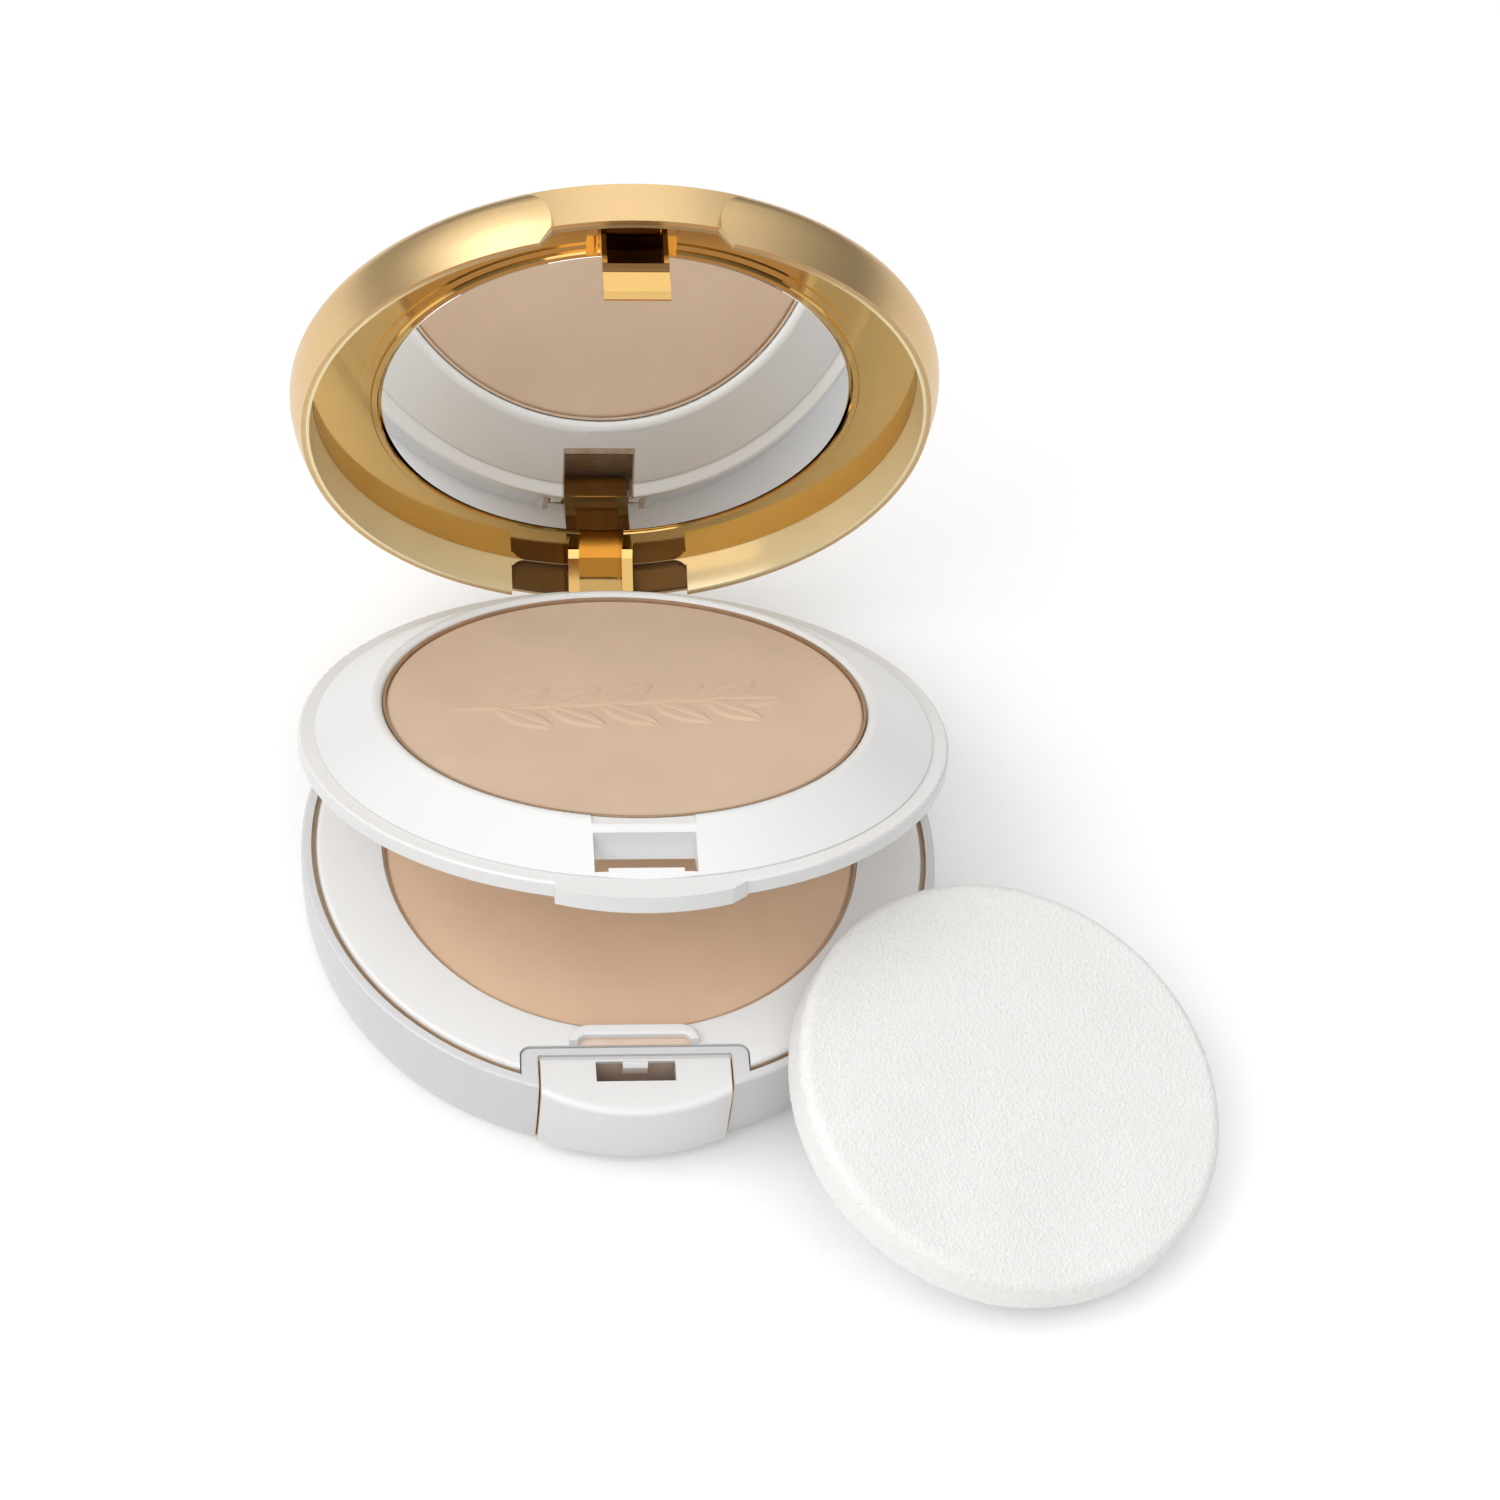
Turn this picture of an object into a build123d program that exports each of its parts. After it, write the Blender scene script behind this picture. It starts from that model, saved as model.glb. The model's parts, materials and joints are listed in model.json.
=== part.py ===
from build123d import *
from math import atan2, cos, degrees, radians, sin, sqrt
import os

# A two-tier pressed-powder compact: white base with a push button, white middle
# tray, gold lid with a mirror, and a sponge puff leaning on the base.
# Millimetres, +Z up, front -Y. Origin: centre of the flat underside of the base.
# Everything is drawn closed, then each moving group is turned about the hinge
# axis into the display pose.

# ---------------------------------------------------------------- driving sizes
PAN_R = 29.5                # opening for a standard 59 mm powder pan
BASE_R = 39.3               # outer radius of the base at its rim
BASE_FOOT_R = 36.3          # radius of the flat underside
RIM_Z = 13.0                # height of the base rim
FLANGE_R = 39.7             # outer radius of the middle tray
LID_RIM_R = 39.1            # outer radius of the lid at its edge
LID_BULGE_R = 40.45         # widest radius of the lid
LID_H = 10.1                # height of the lid
GAP = 0.1                   # clearance between closed tiers
SLACK = 0.05                # clearance of a fitted piece all round
EPS = 0.01                  # overshoot that keeps cuts clean

HINGE_Y = 38.1
HINGE_Z = 7.55
TRAY_OPEN = 21.2            # degrees the tray stands open
LID_OPEN = 80.2             # degrees the lid stands open

# ------------------------------------------------------------------ base sizes
BASE_WALL_FOOT = 10.5       # height over which the wall curves in
BASE_FLOOR = 1.4
CAVITY_R = 36.6
SEAT_R = 38.1               # recess that holds the insert plate
SEAT_Z = 11.9
EDGE_R = 0.4                # small moulded edge radius
BUTTON_HALF = 11.4          # half width of the push button
BUTTON_SIDE_GAP = 0.18
COLLAR_HALF = 13.6          # half width of the collar round the button
COLLAR_Y = -31.8            # rear face of that collar
COLLAR_FRONT_Y = -33.4      # its front face, behind the button
COLLAR_R = 1.2              # its rounded rear corners
LEDGE_Y = -32.8             # rear end of the shallow ledge under the button lip
LEDGE_Z = 12.6
POCKET_Z = 1.8              # floor of the button pocket
HINGE_BLOCK_HALF = 12.0
HINGE_BLOCK_Y = 34.4
HINGE_POCKET_HALF = 7.1
HINGE_POCKET_Y = 35.5
HINGE_POCKET_Z = 5.0
INSERT_GAP = 0.15           # between the insert plate and the blocks it goes round
LABEL_R = 16.0
LABEL_RECESS_R = 17.0
LABEL_RECESS = 0.3
LABEL_T = 0.12

# ---------------------------------------------------------------- insert sizes
PLATE_R = 37.5
PLATE_Z = 13.35             # top face of the insert plate
PLATE_ROUND = 0.6
CUP_WALL = 1.0
CUP_Z = 7.4
CUP_FLOOR_Z = 8.45
LIP_HALF = 7.8              # raised D-shaped lip behind the button
LIP_WALL = 1.05
LIP_Y = -29.2
LIP_INNER_Y = -30.8
LIP_Z = 14.4
LIP_CORNER_R = 2.4
LIP_ROUND = 0.35

# ------------------------------------------------------------- pans and powder
PAN_WALL = 0.35
PAN_FLOOR = 0.35
GLUE_R = 27.0
GLUE_T = 0.15
LOWER_PAN_TOP = 12.9
LOWER_POWDER_TOP = 12.6
POWDER_EDGE = 0.45          # rounded edge of a pressed cake

# ----------------------------------------------------------------- button sizes
BUTTON_Z = 2.0
BUTTON_TOP = 13.05
BUTTON_NOSE_TOP = -42.05    # foremost point of the top face
BUTTON_NOSE_LOW = -39.7     # foremost point of the lower edge
BUTTON_CORNER_TOP = -38.6
BUTTON_CORNER_LOW = -37.2
BUTTON_LIP_Z = 12.65
BUTTON_LIP_Y = -33.6
BUTTON_BODY_Y = -34.2
BUTTON_WALL = 1.4
BUTTON_INNER_Y = -36.6
BUTTON_PLATE_T = 1.5
RECESS_HALF = 4.75
RECESS_FRONT_Y = -36.85
RECESS_REAR_Y = -33.9
BUTTON_NOSE_ROUND = 1.1
CATCH_HALF = 1.5            # leaf that hangs into the recess
CATCH_BEND_Y = -34.35
CATCH_FRONT_Y = -34.6
CATCH_REAR_Y = -34.25
CATCH_TIP_Z = 11.65
CATCH_BEND_Z = 12.65
SPRING_Z = 6.5
SPRING_BORE_R = 1.8
SPRING_SEAT_Y = -38.7
SPRING_R = 1.3
SPRING_WIRE_R = 0.16
SPRING_TURNS = 6

# ------------------------------------------------------------------- tray sizes
FLANGE_Z = RIM_Z + GAP
FLANGE_TOP = 15.1
DOME_FOOT_R = 37.66
DOME_FOOT_Z = 15.35
CREST_R = 30.4
CREST_Z = 19.2
CREST_FOOT = (0.8, 0.25)    # out and down from the crest to where its outer curve starts
CREST_DIP = (0.6, 0.2)      # in and down to where its inner curve starts
MOUTH_Z = CREST_Z - 0.75    # top of the straight wall round the pan
MOUTH_MID = (0.08, 0.45)    # middle of the inner curve, out from that wall and below the crest
TRAY_SEAT_Z = 14.5
TRAY_RECESS_R = 37.3
TRAY_RECESS_Z = 13.5        # underside of the ring round the recess
TRAY_RING_R = 37.8
TRAY_WALL = 1.2
TAB_HALF = 10.7
TAB_NOSE_Y = -42.0
TAB_ROOT_R = 38.1
TAB_CORNER_Y = -39.6
TAB_SOFT_STEP = (0.9, 0.32) # the right end of the tab falls away more gently
SLOT_HALF = 6.0
SLOT_REAR_Y = -32.0
SLOT_FRONT_Y = -36.3
SLOT_RELIEF = (1.6, 0.9)    # notch at each front corner of the slot
CHANNEL_HALF = 6.1
CHANNEL_DROP = 0.45         # depth at the powder
CHANNEL_END_DROP = 0.2      # depth at the foot of the dome
HOLLOW_START = (-74, 106)   # the underside is solid at the slot and at the hinge
HOLLOW_ARC = 148
HOLLOW_STEP = 0.6           # extra thickness under the crest
ARM_NOTCH_HALF = 4.5
ARM_NOTCH_Y = 33.7
UNDERPLATE_Z = 13.6
LIP_CLEAR = (0.5, 0.6)      # room round the base's lip, beside it and behind it
ARM_CLEAR = (0.3, 0.2)      # room round the hinge arms
UPPER_PAN_Z = TRAY_SEAT_Z + GLUE_T
UPPER_PAN_TOP = 18.9
UPPER_POWDER_TOP = 18.6

# ------------------------------------------------------------------ hinge sizes
ARM_KNUCKLE_R = 1.9         # middle knuckle, on the lid arm
KNUCKLE_R = 1.3             # knuckles on the tray and the base
PIN_R = 0.8
PIN_BORE_R = 0.85
PIN_HALF = 6.95
LID_KNUCKLE_HALF = 4.2
TRAY_KNUCKLE_IN = 4.5
TRAY_KNUCKLE_OUT = 5.9
BASE_KNUCKLE_IN = 6.1
KNUCKLE_LEG = 0.8           # half width of a leg under a base knuckle, as a share of its radius
TRAY_ARM_Z = 14.2           # where the tray arms meet the flange
TRAY_ARM_REAR_Y = (38.6, 38.9)

# -------------------------------------------------------------------- lid sizes
LID_RIM_Z = FLANGE_TOP + 0.12
LID_TOP_Z = LID_RIM_Z + LID_H
LID_SHOULDER_A = 12.0
LID_SHOULDER_B = 4.8
LID_RIM_INNER_R = 38.1
LID_INNER_R = 37.6
LID_FLOOR_Z = 20.05         # visible inner floor, facing the tray
BEZEL_R = 30.5
BEZEL_Z = 19.45
MIRROR_R = 29.35
MIRROR_Z = 19.8
MIRROR_T = 1.2
BACKPLATE_Z = 21.3
BACKPLATE_TOP = 22.3
SHELL_CEILING = 23.9
SHELL_RIB_R = (33.0, 34.0)  # ring behind the back plate that meets the shell's ceiling
BACKPLATE_R = 37.0
WALL_CUT_Y = 30.0           # cuts in the lid's wall start here and run outwards
WALL_CUT = 15.0
NOTCH_HALF = 9.8
NOTCH_SLOPE = 1.7
NOTCH_H = 1.9
SCOOP_R = 39.3              # the belt is set back to this radius for the thumb
SCOOP_HALF = 10.0           # half width of that face at the rim
SCOOP_FLARE = (6.2, 5.4)    # the ends of the belt are rounded, so it widens upwards
SCOOP_FLARE_Z = 2.2
REAR_CUT_HALF = 11.5        # pocket in the rear wall round the arm
REAR_CUT_R = 2.0
REAR_CUT_DEEP_R = 38.4
REAR_CUT_Z = 16.2           # below this the pocket goes right through
HOOK_HALF = 4.0
HOOK_FRONT_Y = -35.2
HOOK_BACK_Y = -34.2
HOOK_THICK_BACK_Y = -33.2
HOOK_TIP_Z = 9.0
HOOK_THICK_Z = 13.7
HOOK_NOTCH_Z = (11.45, 13.2)
HOOK_STEP = 0.2             # the face is set back below the box
HOOK_WINDOW_HALF = 2.2      # blind window at the back that the catch enters
HOOK_WINDOW_FRONT_Y = -34.7
HOOK_POCKET_Z = (14.0, 20.0)
HOOK_POCKET_HALF = 3.35
HOOK_POCKET_DEEP = 1.5
HOOK_SLOT_HALF = 5.4
RIB_IN = 2.8
ARM_FRONT = ((33.0, BEZEL_Z), (33.8, BEZEL_Z - 0.9), (35.7, 13.3))
ARM_REAR = ((37.2, 16.0), (37.2, LID_FLOOR_Z + 0.5))
ARM_ROOT_Y = 30.0
WEB_FRONT = ((35.6, LID_FLOOR_Z - 0.15), (36.1, 13.5), (36.1, 9.6))

# ----------------------------------------------------------------- sponge sizes
SPONGE_R = 27.1
SPONGE_T = 8.4
SPONGE_EDGE_R = 3.9
SPONGE_X = 43.9
SPONGE_Y = -38.5
SPONGE_TILT = 18.2          # degrees it leans back on the base
SPONGE_TURN = -39.1         # heading its face tips towards
SPONGE_TRIM_R = LID_BULGE_R + 0.35  # the puff's solid stays clear of the closed tiers

HINGE_AXIS = Axis((0, HINGE_Y, HINGE_Z), (1, 0, 0))

os.makedirs("parts", exist_ok=True)


def save(part, name, turn=0.0):
    """Turns a closed part open about the hinge axis and writes it."""
    solid = part.rotate(HINGE_AXIS, -turn) if turn else part
    solid.label = name
    export_step(solid, "parts/" + name + ".step")


def radial_plane(angle):
    """Upright plane through the centre line whose x runs out along the angle."""
    a = radians(angle)
    return Plane(origin=(0, 0, 0), x_dir=(cos(a), sin(a), 0), z_dir=(sin(a), -cos(a), 0))


# ------------------------------------------------------------------- base_shell
with BuildPart() as base_shell:
    with BuildSketch(Plane.XZ):
        with BuildLine():
            wall = EllipticalCenterArc(
                (BASE_FOOT_R, BASE_WALL_FOOT), BASE_R - BASE_FOOT_R, BASE_WALL_FOOT, start_angle=270, arc_size=90
            )
            upright = Line(wall @ 1, (BASE_R, RIM_Z - EDGE_R))
            edge = CenterArc((BASE_R - EDGE_R, RIM_Z - EDGE_R), EDGE_R, 0, 90)
            Polyline(edge @ 1, (0, RIM_Z), (0, 0), wall @ 0)
        make_face()
    revolve(axis=Axis.Z)
    # hollow, leaving the collar in front and the hinge block behind
    with BuildSketch(Plane.XY.offset(BASE_FLOOR)):
        Circle(CAVITY_R)
        with Locations((0, COLLAR_Y)):
            RectangleRounded(
                2 * COLLAR_HALF, BASE_R, COLLAR_R, align=(Align.CENTER, Align.MAX), mode=Mode.SUBTRACT
            )
        with Locations((0, HINGE_BLOCK_Y)):
            Rectangle(2 * HINGE_BLOCK_HALF, BASE_R, align=(Align.CENTER, Align.MIN), mode=Mode.SUBTRACT)
    extrude(amount=RIM_Z, mode=Mode.SUBTRACT)
    with BuildSketch(Plane.XY.offset(SEAT_Z)):
        Circle(SEAT_R)
        with Locations((0, COLLAR_Y)):
            RectangleRounded(
                2 * COLLAR_HALF, BASE_R, COLLAR_R, align=(Align.CENTER, Align.MAX), mode=Mode.SUBTRACT
            )
        with Locations((0, HINGE_BLOCK_Y)):
            Rectangle(2 * HINGE_BLOCK_HALF, BASE_R, align=(Align.CENTER, Align.MIN), mode=Mode.SUBTRACT)
    extrude(amount=RIM_Z, mode=Mode.SUBTRACT)
    # pocket for the button, with the shallow ledge its lip slides over
    with BuildSketch(Plane.XY.offset(POCKET_Z)):
        with Locations((0, COLLAR_FRONT_Y)):
            Rectangle(2 * (BUTTON_HALF + BUTTON_SIDE_GAP), BASE_R, align=(Align.CENTER, Align.MAX))
    extrude(amount=RIM_Z, mode=Mode.SUBTRACT)
    with BuildSketch(Plane.XY.offset(LEDGE_Z)):
        with Locations((0, LEDGE_Y)):
            Rectangle(2 * (BUTTON_HALF + BUTTON_SIDE_GAP), BASE_R, align=(Align.CENTER, Align.MAX))
    extrude(amount=RIM_Z, mode=Mode.SUBTRACT)
    # hinge pocket and the two fixed knuckles inside it
    with BuildSketch(Plane.XY.offset(HINGE_POCKET_Z)):
        with Locations((0, HINGE_POCKET_Y)):
            Rectangle(2 * HINGE_POCKET_HALF, BASE_R, align=(Align.CENTER, Align.MIN))
    extrude(amount=RIM_Z, mode=Mode.SUBTRACT)
    for side in (1, -1):
        with BuildSketch(Plane.YZ.offset(side * BASE_KNUCKLE_IN)):
            with Locations((HINGE_Y, HINGE_Z)):
                Circle(KNUCKLE_R)
            with Locations((HINGE_Y, HINGE_POCKET_Z - EDGE_R)):
                Rectangle(
                    2 * KNUCKLE_LEG * KNUCKLE_R, HINGE_Z - HINGE_POCKET_Z + EDGE_R, align=(Align.CENTER, Align.MIN)
                )
        extrude(amount=side * (HINGE_POCKET_HALF - BASE_KNUCKLE_IN + EDGE_R))
    with BuildSketch(Plane.YZ.offset(-(PIN_HALF + GAP))):
        with Locations((HINGE_Y, HINGE_Z)):
            Circle(PIN_BORE_R)
    extrude(amount=2 * (PIN_HALF + GAP), mode=Mode.SUBTRACT)
    # shallow recess underneath for the label
    with BuildSketch(Plane.XY):
        Circle(LABEL_RECESS_R)
    extrude(amount=LABEL_RECESS, mode=Mode.SUBTRACT)
save(base_shell.part, "base_shell")

# ------------------------------------------------------------------- base_label
with BuildPart() as base_label:
    with BuildSketch(Plane.XY.offset(LABEL_RECESS - LABEL_T)):
        Circle(LABEL_R)
    extrude(amount=LABEL_T)
save(base_label.part, "base_label")

# ------------------------------------------------------------------ base_insert
with BuildPart() as base_insert:
    with BuildSketch(Plane.XZ):
        with BuildLine():
            top = Line((PAN_R, PLATE_Z), (PLATE_R - PLATE_ROUND, PLATE_Z))
            turn = CenterArc((PLATE_R - PLATE_ROUND, PLATE_Z - PLATE_ROUND), PLATE_ROUND, 0, 90)
            Polyline(
                turn @ 0,
                (PLATE_R, SEAT_Z),
                (PAN_R + CUP_WALL, SEAT_Z),
                (PAN_R + CUP_WALL, CUP_Z),
                (0, CUP_Z),
                (0, CUP_FLOOR_Z),
                (PAN_R, CUP_FLOOR_Z),
                (PAN_R, PLATE_Z),
            )
        make_face()
    revolve(axis=Axis.Z)
    with BuildSketch(Plane.XY.offset(SEAT_Z - EPS)):
        with Locations((0, COLLAR_Y + INSERT_GAP)):
            RectangleRounded(
                2 * (COLLAR_HALF + INSERT_GAP), BASE_R, COLLAR_R + INSERT_GAP, align=(Align.CENTER, Align.MAX)
            )
        with Locations((0, HINGE_BLOCK_Y - INSERT_GAP)):
            Rectangle(2 * (HINGE_BLOCK_HALF + INSERT_GAP), BASE_R, align=(Align.CENTER, Align.MIN))
    extrude(amount=RIM_Z, mode=Mode.SUBTRACT)
    # D-shaped raised lip, open to the front
    with BuildSketch(Plane.XY.offset(RIM_Z)) as lip:
        with Locations((0, LIP_Y)):
            RectangleRounded(2 * LIP_HALF, 4 * LIP_CORNER_R, LIP_CORNER_R, align=(Align.CENTER, Align.MAX))
        with Locations((0, LIP_INNER_Y)):
            RectangleRounded(
                2 * (LIP_HALF - LIP_WALL), 4 * LIP_CORNER_R, LIP_WALL, align=(Align.CENTER, Align.MAX), mode=Mode.SUBTRACT
            )
        with Locations((0, COLLAR_Y + INSERT_GAP)):
            Rectangle(4 * LIP_HALF, BASE_R, align=(Align.CENTER, Align.MAX), mode=Mode.SUBTRACT)
    extrude(amount=LIP_Z - RIM_Z)
    lip_rim = base_insert.faces().filter_by(Plane.XY).sort_by(Axis.Z)[-1]
    fillet(lip_rim.edges().filter_by(lambda e: (e @ 0.5).Y > COLLAR_Y + INSERT_GAP + SLACK), LIP_ROUND)
save(base_insert.part, "base_insert")


# ------------------------------------------------------------ pans, cakes, glue
def glue_disc(z, radius, thickness):
    with BuildPart() as disc:
        with BuildSketch(Plane.XY.offset(z)):
            Circle(radius)
        extrude(amount=thickness)
    return disc.part


def powder_pan(z, top):
    outer = PAN_R - SLACK
    with BuildPart() as pan:
        with BuildSketch(Plane.XY.offset(z)):
            Circle(outer)
        extrude(amount=top - z)
        with BuildSketch(Plane.XY.offset(z + PAN_FLOOR)):
            Circle(outer - PAN_WALL)
        extrude(amount=top - z, mode=Mode.SUBTRACT)
    return pan.part


def powder_cake(z, top):
    radius = PAN_R - SLACK - PAN_WALL
    with BuildPart() as cake:
        with BuildSketch(Plane.XZ):
            with BuildLine():
                Polyline((0, top), (0, z), (radius, z), (radius, top - POWDER_EDGE))
                Line((radius, top - POWDER_EDGE), (radius - POWDER_EDGE, top))
                Line((radius - POWDER_EDGE, top), (0, top))
            make_face()
        revolve(axis=Axis.Z)
    return cake.part


LOWER_PAN_Z = CUP_FLOOR_Z + GLUE_T
save(glue_disc(CUP_FLOOR_Z, GLUE_R, GLUE_T), "lower_pan_adhesive")
save(powder_pan(LOWER_PAN_Z, LOWER_PAN_TOP), "lower_pan")
save(powder_cake(LOWER_PAN_Z + PAN_FLOOR, LOWER_POWDER_TOP), "lower_powder")
save(glue_disc(TRAY_SEAT_Z, GLUE_R, GLUE_T), "upper_pan_adhesive", TRAY_OPEN)
save(powder_pan(UPPER_PAN_Z, UPPER_PAN_TOP), "upper_pan", TRAY_OPEN)
save(powder_cake(UPPER_PAN_Z + PAN_FLOOR, UPPER_POWDER_TOP), "upper_powder", TRAY_OPEN)


# ------------------------------------------------------------------ push_button
with BuildPart() as push_button:
    for height, nose_y, corner_y in (
        (BUTTON_Z, BUTTON_NOSE_LOW, BUTTON_CORNER_LOW),
        (BUTTON_TOP, BUTTON_NOSE_TOP, BUTTON_CORNER_TOP),
    ):
        with BuildSketch(Plane.XY.offset(height)):
            with BuildLine():
                ThreePointArc((-BUTTON_HALF, corner_y), (0, nose_y), (BUTTON_HALF, corner_y))
                Polyline(
                    (BUTTON_HALF, corner_y),
                    (BUTTON_HALF, BUTTON_BODY_Y),
                    (-BUTTON_HALF, BUTTON_BODY_Y),
                    (-BUTTON_HALF, corner_y),
                )
            make_face()
    loft(ruled=True)
    nose = push_button.faces().sort_by(Axis.Z)[-1].edges().sort_by(Axis.Y)[0]
    fillet(nose, BUTTON_NOSE_ROUND)
    # thin lip behind the body that slides over the ledge
    with BuildSketch(Plane.XY.offset(BUTTON_LIP_Z)):
        with Locations((0, BUTTON_LIP_Y)):
            Rectangle(2 * BUTTON_HALF, BUTTON_LIP_Y - BUTTON_BODY_Y + EPS, align=(Align.CENTER, Align.MAX))
    extrude(amount=BUTTON_TOP - BUTTON_LIP_Z)
    with BuildSketch(Plane.XY.offset(BUTTON_Z)):
        with Locations((0, BUTTON_INNER_Y)):
            Rectangle(
                2 * (BUTTON_HALF - BUTTON_WALL), BUTTON_BODY_Y - BUTTON_INNER_Y, align=(Align.CENTER, Align.MIN)
            )
    extrude(amount=BUTTON_TOP - BUTTON_PLATE_T - BUTTON_Z, mode=Mode.SUBTRACT)
    # recess that takes the hook
    with BuildSketch(Plane.XY.offset(BUTTON_Z)):
        with Locations((0, RECESS_FRONT_Y)):
            Rectangle(2 * RECESS_HALF, RECESS_REAR_Y - RECESS_FRONT_Y, align=(Align.CENTER, Align.MIN))
    extrude(amount=RIM_Z, mode=Mode.SUBTRACT)
    # catch leaf that hangs into the recess
    with BuildSketch(Plane.YZ.offset(-CATCH_HALF)):
        with BuildLine():
            Polyline(
                (RECESS_REAR_Y + 2 * SLACK, BUTTON_TOP - SLACK),
                (RECESS_REAR_Y, BUTTON_TOP - 2 * SLACK),
                (CATCH_BEND_Y, BUTTON_TOP - 2 * SLACK),
                (CATCH_FRONT_Y, CATCH_BEND_Z),
                (CATCH_FRONT_Y, CATCH_TIP_Z),
                (CATCH_REAR_Y, CATCH_TIP_Z),
                (CATCH_REAR_Y, BUTTON_LIP_Z - 4 * SLACK),
                (CATCH_REAR_Y + SLACK, BUTTON_LIP_Z),
                (RECESS_REAR_Y + 2 * SLACK, BUTTON_LIP_Z),
                close=True,
            )
        make_face()
    extrude(amount=2 * CATCH_HALF)
    # blind bore that seats the spring
    with BuildSketch(Plane.XZ.offset(-BUTTON_INNER_Y - EPS)):
        with Locations((0, SPRING_Z)):
            Circle(SPRING_BORE_R)
    extrude(amount=BUTTON_INNER_Y - SPRING_SEAT_Y, mode=Mode.SUBTRACT)
save(push_button.part, "push_button")

# ---------------------------------------------------------------- button_spring
SPRING_LENGTH = COLLAR_FRONT_Y - SPRING_SEAT_Y - 2 * SPRING_WIRE_R
SPRING_REAR_Y = COLLAR_FRONT_Y - SPRING_WIRE_R - EPS
with BuildPart() as button_spring:
    with BuildLine():
        coil = Helix(
            pitch=(SPRING_LENGTH - 2 * EPS) / SPRING_TURNS,
            height=SPRING_LENGTH - 2 * EPS,
            radius=SPRING_R,
            center=(0, SPRING_REAR_Y, SPRING_Z),
            direction=(0, -1, 0),
        )
    with BuildSketch(Plane(origin=coil @ 0, z_dir=coil % 0)):
        Circle(SPRING_WIRE_R)
    sweep()
save(button_spring.part, "button_spring")

# ------------------------------------------------------------------- tray_frame
CREST_OUT = (CREST_R + CREST_FOOT[0], CREST_Z - CREST_FOOT[1])
DOME_SLOPE = (CREST_OUT[1] - DOME_FOOT_Z) / (DOME_FOOT_R - CREST_OUT[0])
with BuildPart() as tray_frame:
    with BuildSketch(Plane.XZ):
        with BuildLine():
            Polyline(
                (PAN_R, MOUTH_Z),
                (PAN_R, UPPER_PAN_Z),
                (TRAY_RECESS_R, UPPER_PAN_Z),
                (TRAY_RECESS_R, TRAY_RECESS_Z),
                (TRAY_RING_R, TRAY_RECESS_Z),
                (TRAY_RING_R, FLANGE_Z),
                (FLANGE_R - EDGE_R, FLANGE_Z),
            )
            low = CenterArc((FLANGE_R - EDGE_R, FLANGE_Z + EDGE_R), EDGE_R, 270, 90)
            high = CenterArc((FLANGE_R - EDGE_R, FLANGE_TOP - EDGE_R), EDGE_R, 0, 90)
            Line(low @ 1, high @ 0)
            Polyline(high @ 1, (DOME_FOOT_R, FLANGE_TOP), (DOME_FOOT_R, DOME_FOOT_Z), CREST_OUT)
            crest = ThreePointArc(CREST_OUT, (CREST_R, CREST_Z), (CREST_R - CREST_DIP[0], CREST_Z - CREST_DIP[1]))
            ThreePointArc(crest @ 1, (PAN_R + MOUTH_MID[0], CREST_Z - MOUTH_MID[1]), (PAN_R, MOUTH_Z))
        make_face()
    revolve(axis=Axis.Z)
    # finger tab in front
    with BuildSketch(Plane.XY.offset(FLANGE_Z)):
        with BuildLine():
            soft_end = (TAB_HALF - TAB_SOFT_STEP[0], TAB_CORNER_Y - TAB_SOFT_STEP[1])
            nose_arc = ThreePointArc((-TAB_HALF, TAB_CORNER_Y), (0, TAB_NOSE_Y), soft_end)
            Polyline(soft_end, (TAB_HALF + TAB_SOFT_STEP[0], -TAB_ROOT_R), (-TAB_HALF, -TAB_ROOT_R), nose_arc @ 0)
        make_face()
    extrude(amount=FLANGE_TOP - FLANGE_Z)
    # hollow underside in two arcs, solid at the slot and at the hinge
    for start in HOLLOW_START:
        with BuildSketch(radial_plane(start)):
            with BuildLine():
                drop = TRAY_WALL * sqrt(1 + DOME_SLOPE**2)
                inner_r = PAN_R + TRAY_WALL
                outer_r = TRAY_RECESS_R - TRAY_WALL
                Polyline(
                    (inner_r, UPPER_PAN_Z - EPS),
                    (inner_r, DOME_FOOT_Z + DOME_SLOPE * (DOME_FOOT_R - inner_r) - drop - HOLLOW_STEP),
                    (outer_r, DOME_FOOT_Z + DOME_SLOPE * (DOME_FOOT_R - outer_r) - drop),
                    (outer_r, UPPER_PAN_Z - EPS),
                    close=True,
                )
            make_face()
        revolve(axis=Axis.Z, revolution_arc=HOLLOW_ARC, mode=Mode.SUBTRACT)
    # hook slot with a small relief at each front corner
    with BuildSketch(Plane.XY.offset(RIM_Z)):
        with Locations((0, SLOT_FRONT_Y)):
            Rectangle(2 * SLOT_HALF, SLOT_REAR_Y - SLOT_FRONT_Y, align=(Align.CENTER, Align.MIN))
        with GridLocations(2 * SLOT_HALF - SLOT_RELIEF[0], 1, 2, 1):
            with Locations((0, SLOT_FRONT_Y)):
                Rectangle(*SLOT_RELIEF)
    extrude(amount=CREST_Z, mode=Mode.SUBTRACT)
    # shallow channel from the powder to the flange
    with BuildSketch(Plane.YZ.offset(-CHANNEL_HALF)):
        with BuildLine():
            Polyline(
                (-PAN_R + 1, CREST_Z - CHANNEL_DROP),
                (-CREST_R - CREST_DIP[0], CREST_Z - CHANNEL_DROP),
                (-DOME_FOOT_R, DOME_FOOT_Z - CHANNEL_END_DROP),
                (-DOME_FOOT_R - SLACK, CREST_Z + 1),
                (-PAN_R + 1, CREST_Z + 1),
                close=True,
            )
        make_face()
    extrude(amount=2 * CHANNEL_HALF, mode=Mode.SUBTRACT)
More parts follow.
